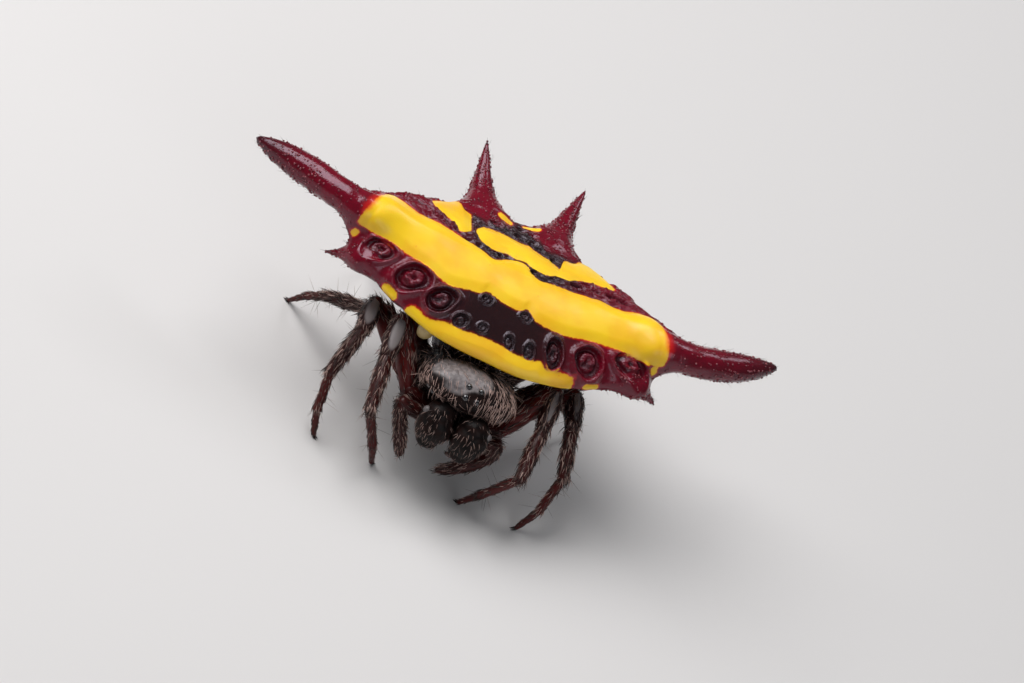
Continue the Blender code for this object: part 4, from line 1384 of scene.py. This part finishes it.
def bare_carapace(u, v):
    """Sections read along the body, as a dome of half width and top over a keel."""
    along, half_width, top, bottom = np.moveaxis(
        through(CARAPACE, np.asarray(u) * (len(CARAPACE) - 1), before=CARAPACE_BEFORE,
                after=CARAPACE_AFTER), -1, 0)
    turn = FULL_TURN * np.asarray(v)
    cosine, sine = np.cos(turn), np.sin(turn)
    widest = bottom + (top - bottom) * WIDEST_SHARE
    power = np.where(sine > 0.0, DOME_SIDE_POWER, KEEL_POWER)
    x = half_width * np.sign(cosine) * np.abs(cosine) ** power
    z = widest + np.where(sine > 0.0, (top - widest) * np.abs(sine) ** DOME_TOP_POWER,
                          -(widest - bottom) * np.abs(sine))
    return np.stack([x, along + 0.0 * x, z], axis=-1)


def carapace(u, v):
    """The sections with the bumps, hollows and unevenness of the real head."""
    points = bare_carapace(u, v)
    outward = unit(points - HEAD_HEART)
    rise = uneven(points, HEAD_LUMPS)
    for centre, radius, height in HEAD_BUMPS:
        rise = rise + height * hill(np.linalg.norm(points - centre, axis=-1), 0.0, radius)
    groove = hill(points[..., 1] - GROOVE_SLANT * np.abs(points[..., 0]), GROOVE_Y, GROOVE_WIDTH)
    rise = rise - GROOVE_DEPTH * groove * smooth_step(*GROOVE_HEIGHTS, points[..., 2])
    return points + outward * rise[..., None]


# %% Mix the finish of the head
HEAD_BLACK = (0.004, 0.003, 0.003)
# Painted sheen: the grey of bare patches, bosses and knees stands in for the lamp's reflection
PAINTED_SHEEN_GREY = (0.22, 0.195, 0.195)
BALD_MIDDLE = (-0.42, 0.66)
BALD_REACH = (0.98, 0.68)
BALD_LUMPS = [(0.14, 0.3)]
BALD_HEIGHTS = (3.4, 3.6)
head = Finish("head_cuticle")
head_mottle = head.step(head.noise(0.25, 4.0), 0.35, 0.7)
head_dark = head.mix(head_mottle, HEAD_BLACK, (0.014, 0.006, 0.005))
# The bare patch's grey, lighter and darker in clouds, is a painted sheen
head_painted_sheen = head.mix(head.step(head.noise(0.12, 4.0), 0.35, 0.65), PAINTED_SHEEN_GREY,
                     (0.13, 0.115, 0.115))
head.set("Base Color", head.mix(head.field("bald"), head_dark, head_painted_sheen))
head.set("Roughness", head.step(head.noise(0.2, 3.0), 0.3, 0.7, 0.28, 0.45))
head.set("Specular IOR Level", head.step(head.field("bald"), 0.0, 1.0, 0.1, 0.35))
head.set("Normal", head.bump(head.noise(0.05, 3.0), 0.012, 0.8))


def bald_patch(points, u, v):
    """Is 1 on the smooth bare patch on top of the head, most of it right of the middle.

    The finish paints the patch grey, as a painted sheen.
    """
    way = (points[..., :2] - BALD_MIDDLE) / BALD_REACH
    out = np.hypot(way[..., 0], way[..., 1]) + uneven(points, BALD_LUMPS)
    return (1.0 - smooth_step(0.8, 1.0, out)) * smooth_step(*BALD_HEIGHTS, points[..., 2])


head_shell = shell(carapace, 150, 160, bald=bald_patch)


# %% [markdown]
# A leg segment, a jaw, the stalk and a palp segment are all spindles: a radius that changes along
# a straight or bowed axis, closed by a dome at each end.


# %% A spindle between two joints
DOME_SHARE = 0.14
UPRIGHT_FROM = 0.95
SPINDLE_ROUGH_SIZE = 0.25


def spindle(start, end, radii, bow=(0.0, 0.0, 0.0), dome=0.7, roughen=0.05):
    """Carries radii along an axis, with a quarter turn of a dome past each end.

    The axis runs off its straight line by the bow times 4 share (1 - share), and the surface is
    rough by a share of the radius.
    """
    start, end = np.asarray(start, dtype=float), np.asarray(end, dtype=float)
    radii = np.asarray(radii, dtype=float)
    length = np.linalg.norm(end - start)
    axis = (end - start) / length
    helper = (0.0, 0.0, 1.0) if abs(axis[2]) < UPRIGHT_FROM else (0.0, 1.0, 0.0)
    across = unit(np.cross(axis, helper))
    upward = np.cross(across, axis)

    def form(u, v):
        u = np.asarray(u, dtype=float)
        body = np.clip((u - DOME_SHARE) / (1.0 - 2.0 * DOME_SHARE), 0.0, 1.0)
        first = np.clip(1.0 - u / DOME_SHARE, 0.0, 1.0) * math.pi / 2.0
        last = np.clip(1.0 - (1.0 - u) / DOME_SHARE, 0.0, 1.0) * math.pi / 2.0
        place = (length * body - dome * radii[0] * np.sin(first)
                 + dome * radii[-1] * np.sin(last))
        radius = through(radii, body * (len(radii) - 1)) * np.cos(first) * np.cos(last)
        centre = bowed_line(start, axis * length, np.asarray(bow), place / length)
        arm = arms(FULL_TURN * np.asarray(v), across, upward)
        places = centre + radius[..., None] * arm
        rough = radius * roughen * lumps(places, SPINDLE_ROUGH_SIZE)
        return places + arm * rough[..., None]
    return form


# %% Stalk, breast plate and mouth parts
STALK_FRONT, STALK_REAR = (0.0, 2.55, 2.72), (0.0, 3.2, 2.98)
STALK_RADII = (0.27, 0.24, 0.22, 0.25)
EGG_TAPER = 0.18
EGG_LUMPS = [(0.04, 0.3)]
stalk_shell = shell(spindle(STALK_FRONT, STALK_REAR, STALK_RADII), 24, 32, bald=0.0)


def flat_egg(middle, radii, tilt=0.0):
    """An egg with three half lengths, its broad end to the front, tilted about X."""
    middle, radii = np.asarray(middle, dtype=float), np.asarray(radii, dtype=float)

    def form(u, v):
        polar, turn = math.pi * np.asarray(u), FULL_TURN * np.asarray(v)
        y = -np.cos(polar)
        ring = np.sin(polar) * (1.0 - EGG_TAPER * y)
        local = np.stack([ring * np.cos(turn), y, ring * np.sin(turn)], axis=-1) * radii
        local = local * (1.0 + uneven(local + middle, EGG_LUMPS))[..., None]
        y_turned = local[..., 1] * math.cos(tilt) - local[..., 2] * math.sin(tilt)
        z_turned = local[..., 1] * math.sin(tilt) + local[..., 2] * math.cos(tilt)
        return middle + np.stack([local[..., 0], y_turned, z_turned], axis=-1)
    return form


breast = shell(flat_egg((0.0, 1.62, 1.93), (0.66, 0.92, 0.13)), 48, 64, bald=0.0)
lip = shell(flat_egg((0.0, 0.62, 2.0), (0.2, 0.2, 0.1), 0.3), 24, 32, bald=0.0)
mouth_plates = [shell(flat_egg(on_side((0.36, 0.5, 2.02), side), (0.24, 0.36, 0.16), 0.35),
                      32, 40, bald=0.0) for side in SIDES.values()]

# %% [markdown]
# ## Jaws
# Two stout black jaws hang under the head and bulge forward. A smooth boss, painted mostly grey
# as a sheen, marks the upper outer corner of each, and a curved fang lies folded in below.

# %% Jaws and fangs
JAW_TOP = (0.56, -0.1, 2.98)
JAW_FOOT = (0.54, -0.36, 2.1)
JAW_RADII = (0.44, 0.52, 0.55, 0.54, 0.47, 0.36)
JAW_BOW = (0.0, -0.04, 0.0)
FANG_ROOT = (0.5, -0.34, 1.93)
FANG_INWARD, FANG_BACK, FANG_DOWN = 0.34, 0.2, 0.17
FANG_RADIUS = 0.12
FANG_TAPER = 0.7
FANG_ROUNDED = 0.05
FANG_ACROSS = (0.4, 0.9, 0.0)
BOSS_PLACE = (0.98, -0.22, 2.98)
BOSS_RADII = (0.12, 0.13, 0.12)
jaw_forms = {word: spindle(on_side(JAW_TOP, side), on_side(JAW_FOOT, side), JAW_RADII,
                           bow=JAW_BOW, dome=0.75, roughen=0.06)
             for word, side in SIDES.items()}


def fang_form(side):
    """A cone that thins along a quarter turn, inwards and back under the jaw."""
    def form(u, v):
        u = np.asarray(u)
        sweep = u * FULL_TURN / 4.0
        way = np.stack([-FANG_INWARD * np.sin(sweep), FANG_BACK * (1.0 - np.cos(sweep)),
                        -FANG_DOWN * np.sin(sweep)], axis=-1)
        radius = (FANG_RADIUS * (1.0 - u) ** FANG_TAPER
                  * np.sqrt(np.minimum(1.0, u / FANG_ROUNDED)))
        arm = arms(FULL_TURN * np.asarray(v), np.array(FANG_ACROSS), np.array([0.0, 0.0, 1.0]))
        return on_side(FANG_ROOT + way, side) + radius[..., None] * arm
    return form


fang_finish = clouded("fang_cuticle", 0.2, (0.05, 0.008, 0.005), (0.012, 0.004, 0.003),
                      Roughness=0.22, Coat_Weight=0.3)
for word, side in SIDES.items():
    new_piece("fang_" + word, [shell(fang_form(side), 40, 24)], fang_finish.material,
              ["chelicera_" + word])
jaw_shells = [shell(form, 60, 64, bald=0.0) for form in jaw_forms.values()]
# The bosses take most of the painted grey sheen
bosses = [shell(flat_egg(on_side(BOSS_PLACE, side), BOSS_RADII), 20, 24, bald=0.8)
          for side in SIDES.values()]
new_piece("head_skin", [head_shell, stalk_shell, breast, lip] + mouth_plates + jaw_shells
          + bosses, head.material,
          ["cephalothorax", "chelicera_left", "chelicera_right"])

# %% [markdown]
# The hair of the head is pale and lies flat. It streams forward and down over the face, a little
# to the spider's left, thickest on the left side and over the brow. It leaves the front of the
# face almost bare and black, and it is thin on the right half of the bare patch, whose grey is a
# painted sheen. The jaws carry short pale hairs that point down.

# %% Grow the hair of the head and jaws
HEAD_HAIRS = 1150
THORAX_HAIRS = 900
JAW_HAIRS = 130
HEAD_PAGES = 4
EYE_PLACES = [(0.18, -0.02, 3.8), (0.2, 0.24, 4.02), (1.1, 0.08, 3.3), (1.24, 0.24, 3.42)]
BARE_ROUND_EYES = (0.1, 0.2)
# How thickly hair grows on the right of the head and how much more on the left, then how much
# the rear, the face and the grey patch hold back, and how much the brow adds
THICK_RIGHT, MORE_LEFT = 0.4, 0.35
LESS_REAR, LESS_FACE, LESS_PATCH, MORE_BROW = 0.5, 0.95, 0.7, 0.6
BROW_X, BROW_Y = 0.75, 0.12
BROW_REACH = (0.35, 0.12)
FLOW = (0.35, -1.0, -0.35)
FLOW_SWIRL = (0.6, 0.0, 0.4)
FLOW_SIZE = 0.6
head_random = np.random.default_rng(21)


def flow_of_head(points):
    """Streams forward, down and a little to the left, with slow swirls."""
    swirls = np.stack([lumps(points + shift, FLOW_SIZE) for shift in (0.0, 0.0, 9.0)], axis=-1)
    return FLOW + FLOW_SWIRL * swirls


def hairy_head(points, u, v):
    """Is how thickly hair grows on the head: not round the eyes, and little on the face."""
    x, y, z = points[..., 0], points[..., 1], points[..., 2]
    thick = THICK_RIGHT + MORE_LEFT * smooth_step(-0.3, 0.5, x)
    thick = thick * smooth_step(2.6, 3.2, z) * (1.0 - LESS_REAR * smooth_step(1.3, 1.8, y))
    face = (1.0 - smooth_step(0.02, 0.16, y)) * (1.0 - smooth_step(3.6, 3.75, z))
    bare = bald_patch(points, u, v) * (1.0 - smooth_step(-0.5, 0.35, x))
    thick = thick * (1.0 - LESS_FACE * face) * (1.0 - LESS_PATCH * bare)
    brow = hill(np.abs(x), BROW_X, BROW_REACH[0]) * hill(y, BROW_Y, BROW_REACH[1])
    thick = thick + MORE_BROW * brow * (z > 3.4)
    for place in EYE_PLACES:
        for side in SIDES.values():
            away = np.linalg.norm(points - on_side(place, side), axis=-1)
            thick = thick * smooth_step(*BARE_ROUND_EYES, away)
    return thick


def hairy_thorax(points, u, v):
    """Is how thickly dark hair grows: on the thorax, and thinly along the sides below."""
    return smooth_step(1.1, 1.7, points[..., 1]) + 0.3 * (points[..., 2] < 3.2)


def hairy_jaw(points, u, v):
    """Is greatest on the front of the jaws."""
    return (points[..., 1] < -0.2) + 0.2


head_hairs = [
    grow(carapace, HEAD_HAIRS, head_random, (0, HEAD_PAGES), length=0.36, radius=0.0085,
         lift=0.22, flow=flow_of_head, liking=hairy_head, pale=0.75, spread=0.14, bend=0.35),
    grow(carapace, THORAX_HAIRS, head_random, (1, HEAD_PAGES), length=0.46, radius=0.012,
         lift=0.85, flow=flow_of_head, liking=hairy_thorax, pale=0.22, spread=0.8)]
for number, form in enumerate(jaw_forms.values()):
    head_hairs.append(
        grow(form, JAW_HAIRS, head_random, (2 + number, HEAD_PAGES), length=0.2, radius=0.009,
             lift=0.45, liking=hairy_jaw, pale=0.6, tone=(0.02, 0.5), spread=0.35))
new_piece("head_hair", head_hairs, hair.material)

# %% [markdown]
# ## Eyes
# Eight small eyes are domes of clear, dark, glossy cuticle, four on the middle bump and two at
# each corner of the head. Each stands where its solid stands, on the surface of the head.

# %% Make the eyes
eye_finish = Finish("eye_lens", Roughness=0.05, Coat_Weight=1.0, Coat_Roughness=0.03)
eye_finish.set("Base Color", eye_finish.mix(eye_finish.step(eye_finish.field("rim"), 0.72, 0.95),
                                            (0.006, 0.005, 0.006), (0.05, 0.03, 0.02)))
EYES = ["median_front", "median_rear", "side_front", "side_rear"]
EYES_LOOK_FROM = (0.0, 1.0, 3.2)
LENS_SINK = 0.35


def lens_shell(node):
    """A ball where the solid eye stands, sunk into the head. rim is 0 at its front, 1 round it."""
    low, high = (np.array(corner) / MM - STEP_TO_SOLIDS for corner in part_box(node))
    outward = unit((low + high) / 2.0 - EYES_LOOK_FROM)
    radius = 0.5 * (high - low).max()
    place = (low + high) / 2.0 - outward * radius * LENS_SINK
    return shell(lambda u, v: place + radius * ball(u, v), 24, 32,
                 rim=lambda points, u, v: 1.0 - np.clip((points - place) @ outward / radius,
                                                        0.0, 1.0))


for eye in EYES:
    for word in SIDES:
        node = "eye_" + eye + "_" + word
        new_piece(node + "_lens", [lens_shell(node)], eye_finish.material, [node])

# %% [markdown]
# ## Legs and palps
# Each leg has seven segments. Here six spindles make them, as the short second one is no more
# than the domed ends of the hip and the thigh. The places of the joints are those of the solids.
# The shins and feet are thinner than the solids, which keep a least thickness, and hair fills
# some of the difference.

# %% Places of the joints
LEGS = {
    "leg_1": [(1.12, 0.96, 2.14), (1.5, 0.98, 2.32), (2.52, 2.12, 3.7), (2.55, 1.09, 3.12),
              (2.44, -0.46, 2.24), (1.75, -0.35, 0.95), (1.39, 0.0, 0.0)],
    "leg_2": [(1.12, 1.57, 2.08), (1.66, 1.72, 2.16), (3.28, 2.9, 3.18), (3.42, 1.68, 3.07),
              (3.79, 0.62, 2.04), (3.62, 0.15, 0.9), (3.28, 0.0, 0.0)],
    "leg_3": [(1.12, 2.18, 2.08), (1.55, 2.44, 2.06), (2.75, 3.3, 2.75), (3.33, 3.6, 2.21),
              (4.2, 4.35, 1.4), (4.65, 4.75, 0.72), (4.97, 5.05, 0.0)],
    "leg_4": [(0.98, 2.78, 2.12), (1.32, 3.15, 2.16), (2.45, 4.7, 3.0), (2.75, 5.6, 2.9),
              (2.85, 7.0, 1.9), (2.75, 7.7, 0.95), (2.5, 8.0, 0.0)],
}
LEG_3_LEFT_OUTER = [(3.3, 3.6, 2.25), (3.8, 4.1, 1.45), (4.08, 4.4, 0.74), (4.25, 4.67, 0.0)]
LEG_SLIMNESS = {"leg_1": 1.0, "leg_2": 0.97, "leg_3": 0.88, "leg_4": 0.97}
SEGMENTS = {
    "hip": (0.25, 0.27, 0.28, 0.27, 0.25),
    "thigh": (0.2, 0.25, 0.29, 0.31, 0.315, 0.3, 0.28, 0.26, 0.25, 0.25),
    "knee": (0.21, 0.25, 0.27, 0.275, 0.265, 0.245, 0.225),
    "shin": (0.17, 0.195, 0.21, 0.215, 0.21, 0.2, 0.185, 0.18),
    "heel": (0.13, 0.14, 0.14, 0.135, 0.13, 0.13, 0.135),
    "foot": (0.1, 0.11, 0.105, 0.095, 0.085, 0.07),
}
HIP_INWARD = 0.5
HIP_LEVELLING = (1.0, 1.0, 0.3)
FOOT_END = 0.9
THIGH_BOW = (0.0, 0.0, 0.08)
PALP_INWARD = 0.3
PALP_RIGHT = [(0.86, 0.5, 2.04), (1.58, 0.4, 2.3), (1.42, 0.25, 1.9), (1.2, 0.15, 1.5),
              (0.86, 0.0, 0.8)]
PALP_LEFT = [(0.86, 0.5, 2.04), (1.54, 0.35, 2.34), (1.48, 0.2, 1.92), (0.98, 0.08, 1.32),
             (0.36, 0.0, 0.84)]
PALP_SEGMENTS = [
    (0.2, 0.22, 0.23, 0.22, 0.2),
    (0.18, 0.2, 0.21, 0.2, 0.18),
    (0.18, 0.2, 0.21, 0.2, 0.18),
    (0.17, 0.19, 0.19, 0.17, 0.14, 0.1),
]

# %% Shape the legs and palps
# The forms of each limb's segments, by the limb's name and the segment's
limbs = {}
for name, joints in LEGS.items():
    for word, side in SIDES.items():
        outer = LEG_3_LEFT_OUTER if (name, word) == ("leg_3", "left") else joints[3:]
        places = [on_side(place, side) for place in joints[:3] + outer]
        places[0] = places[0] - HIP_INWARD * unit(places[1] - places[0]) * HIP_LEVELLING
        places[6] = places[5] + FOOT_END * (places[6] - places[5])
        limbs[name + "_" + word] = {
            segment: spindle(start, end, np.array(radii) * LEG_SLIMNESS[name],
                             bow=THIGH_BOW if segment == "thigh" else (0.0, 0.0, 0.0))
            for (segment, radii), start, end in zip(SEGMENTS.items(), places, places[1:])}
for (word, side), joints in zip(SIDES.items(), (PALP_LEFT, PALP_RIGHT)):
    places = [on_side(place, side) for place in joints]
    places[0] = places[0] - (side * PALP_INWARD, 0.0, 0.0)
    limbs["palp_" + word] = {
        "part_" + str(index): spindle(places[index], places[index + 1], radii)
        for index, radii in enumerate(PALP_SEGMENTS)}
print("limbs:", ", ".join(limbs))

# %% Mix the finish of the legs
LEG_BROWN = (0.014, 0.005, 0.004)
LEG_DARK = (0.004, 0.002, 0.002)
LEG_RED = (0.095, 0.003, 0.002)
leg_finish = Finish("leg_cuticle", Specular_IOR_Level=0.24)
leg_mottle = leg_finish.step(leg_finish.noise(0.3, 4.0), 0.35, 0.7)
leg_base = leg_finish.mix(leg_mottle, LEG_BROWN, LEG_DARK)
leg_base = leg_finish.mix(leg_finish.field("red"), leg_base, LEG_RED)
# Painted sheen: the knees' bare patches are painted grey
leg_base = leg_finish.mix(leg_finish.field("bald"), leg_base, PAINTED_SHEEN_GREY)
leg_finish.set("Base Color", leg_base)
leg_finish.set("Roughness", leg_finish.step(leg_finish.noise(0.2, 3.0), 0.3, 0.7, 0.3, 0.5))
leg_finish.set("Normal", leg_finish.bump(leg_finish.noise(0.06, 3.0), 0.01, 0.7))

# %% Cover the legs and palps with skin
REDNESS = {"hip": 0.35, "thigh": 0.85, "knee": 0.15, "shin": 0.3, "heel": 0.65, "foot": 0.6}
PALP_REDNESS = 0.3
# v on top of a leg, and the middle and half length along u of the knees' bare patches,
# which are painted grey as a sheen
TOP_OF_LEG = 0.25
PATCH_MIDDLE, PATCH_REACH = 0.46, 0.36
# Half width of the knees' bare patches, with their painted grey sheen, and how much of the hair
# they hold back
KNEE_PATCHES = {"right": (0.12, 1.0), "left": (0.06, 0.75)}


def knee_patch(word):
    """Makes a function that is 1 on the bare patch on top of the knees of one side.

    The finish paints the patch grey, as a painted sheen.
    """
    def patch(points, u, v):
        out = np.hypot((u - PATCH_MIDDLE) / PATCH_REACH, (v - TOP_OF_LEG) / KNEE_PATCHES[word][0])
        return 1.0 - smooth_step(0.8, 1.1, out)
    return patch


for limb, segments in limbs.items():
    grey = knee_patch(limb.split("_")[-1])
    shells = [shell(form, 44, 36, red=REDNESS.get(segment, PALP_REDNESS),
                    bald=grey if segment == "knee" else 0.0)
              for segment, form in segments.items()]
    new_piece(limb + "_skin", shells, leg_finish.material, [limb])

# %% [markdown]
# Pale and dark hairs lie along each leg towards its foot, a little raised, so that pale ones line
# its edges. The thighs are almost bare below. The patches of the right knees, painted grey as a
# sheen, carry no hair, and those of the left knees, which are narrower, are partly covered.

# %% Grow the hair of the legs and palps
# Dark hairs, pale hairs and their length, on each segment
LEG_COAT = {
    "hip": (60, 20, 0.24),
    "thigh": (110, 60, 0.3),
    "knee": (130, 90, 0.32),
    "shin": (190, 105, 0.32),
    "heel": (100, 34, 0.22),
    "foot": (70, 10, 0.15),
}
PALP_COAT = (90, 45, 0.25)
FINE_HAIRS = 12
LEAST_PALE, LEAST_ON_THIGH = 0.15, 0.12
leg_random = np.random.default_rng(31)


def hairy_leg(segment, pale, word):
    """Makes the function of how thickly hair grows on one kind of segment.

    Pale hairs keep to a leg's top and its two sides.
    """
    def thickness(points, u, v):
        above = 0.5 + 0.5 * np.sin(FULL_TURN * v)
        thick = smooth_step(0.04, 0.12, u) * (LEAST_PALE + above if pale else 1.0)
        if segment == "knee":
            return (1.0 - KNEE_PATCHES[word][1] * knee_patch(word)(points, u, v)) * thick
        if segment == "thigh":
            return (LEAST_ON_THIGH + above ** 4) * thick
        return thick
    return thickness


for limb, segments in limbs.items():
    word = limb.split("_")[-1]
    coat = []
    for number, (segment, form) in enumerate(segments.items()):
        dark_count, pale_count, length = LEG_COAT.get(segment, PALP_COAT)
        page = (number, len(segments))
        coat.append(grow(form, dark_count, leg_random, page, length, radius=0.012, lift=0.3,
                         liking=hairy_leg(segment, False, word), pale=0.06, tone=(0.0, 0.25)))
        coat.append(grow(form, pale_count, leg_random, page, length, radius=0.0095, lift=0.5,
                         liking=hairy_leg(segment, True, word), pale=0.7, tone=(0.25, 0.85),
                         bend=0.35))
        if segment in ("shin", "heel"):
            coat.append(grow(form, FINE_HAIRS, leg_random, page, length=0.5, radius=0.005,
                             lift=1.1, pale=0.5, tone=(0.1, 0.5), bend=0.05))
    new_piece(limb + "_hair", coat, hair.material)

# %% [markdown]
# Each foot ends in a pair of small dark claws that curve down to the ground.

# %% Make the claws
CLAW = [(0.0, 0.0), (0.0, 1.0), (0.2, 0.95), (0.4, 0.8), (0.6, 0.58), (0.8, 0.34), (1.0, 0.0)]
CLAW_LENGTH = 0.2
CLAW_RADIUS = 0.032
CLAW_ASIDE = 0.04
CLAW_LEVELLING = (1.0, 1.0, 0.1)
CLAW_SIDES = 8
CLAW_ROOT, FOOT_MIDDLE = 0.93, 0.5
claw_finish = clouded("claw", 0.1, (0.008, 0.004, 0.004), (0.03, 0.010, 0.008),
                      Roughness=0.25, Coat_Weight=0.3)


def middles_of_feet(share):
    """Gives the middle of each foot at a share of its length, from four places around it."""
    return np.array([segments["foot"](np.array(share), np.arange(4) / 4.0).mean(axis=0)
                     for segments in limbs.values() if "foot" in segments])


foot_ends = middles_of_feet(CLAW_ROOT)
claw_heading = unit((foot_ends - middles_of_feet(FOOT_MIDDLE)) * CLAW_LEVELLING)
claw_across = unit(np.cross(claw_heading, (0.0, 0.0, 1.0)))
claw_up = np.cross(claw_across, claw_heading)
claws = [sprout(foot_ends + side * CLAW_ASIDE * claw_across, claw_heading, claw_up, CLAW_LENGTH,
                CLAW_RADIUS, CLAW, CLAW_SIDES, bend=0.2) for side in SIDES.values()]
new_piece("claws", claws, claw_finish.material)
print("lowest claw point, mm:", round(min(claw["points"][:, 2].min() for claw in claws), 4))

# %% [markdown]
# ## Spinnerets
# Under the belly's cone a low ring surrounds three pairs of small blunt cones.

# %% Make the spinnerets
RING_FOOT = 1.1
# Height and radius of the ring's wall, from the middle of its top to that of its hollow foot
RING = [(1.5, 0.0), (1.5, 0.4), (1.4, 0.5), (1.25, 0.54), (1.12, 0.5), (RING_FOOT, 0.42),
        (1.2, 0.3), (1.22, 0.0)]
RING_FLUTES, FLUTE_DEPTH = 14, 0.03
# The cones: places across and along from the ring's middle, and how far the foot reaches down
SPINNERETS = [(0.2, -0.24, 0.26), (0.24, 0.02, 0.16), (0.2, 0.26, 0.26)]
SPINNERET_TOP = 1.3
SPINNERET_RADII = (0.15, 0.14, 0.12, 0.06)
LEAN_INWARD = (0.75, 0.7)
spinneret_finish = clouded("spinneret_cuticle", 0.15, (0.010, 0.006, 0.005),
                           (0.06, 0.025, 0.016), detail=3.0, Roughness=0.45)
spinneret_finish.set("Normal", spinneret_finish.bump(spinneret_finish.noise(0.05), 0.01))


def ring_form(u, v):
    """A low ring whose wall bulges, with a hollow underside."""
    height, radius = np.moveaxis(through(RING, np.asarray(u) * (len(RING) - 1)), -1, 0)
    turn = FULL_TURN * np.asarray(v)
    radius = radius * (1.0 + FLUTE_DEPTH * np.sin(RING_FLUTES * turn))
    return np.stack([radius * np.cos(turn), SPINNERETS_Y + radius * np.sin(turn), height],
                    axis=-1)


spinneret_shells = [shell(ring_form, 60, 72)]
for across, along, drop in SPINNERETS:
    for side in SIDES.values():
        start = (side * across, SPINNERETS_Y + along, SPINNERET_TOP)
        end = (side * across * LEAN_INWARD[0], SPINNERETS_Y + along * LEAN_INWARD[1],
               RING_FOOT - drop)
        spinneret_shells.append(shell(spindle(start, end, SPINNERET_RADII), 28, 24))
new_piece("spinnerets_skin", spinneret_shells, spinneret_finish.material,
          ["spinnerets"])
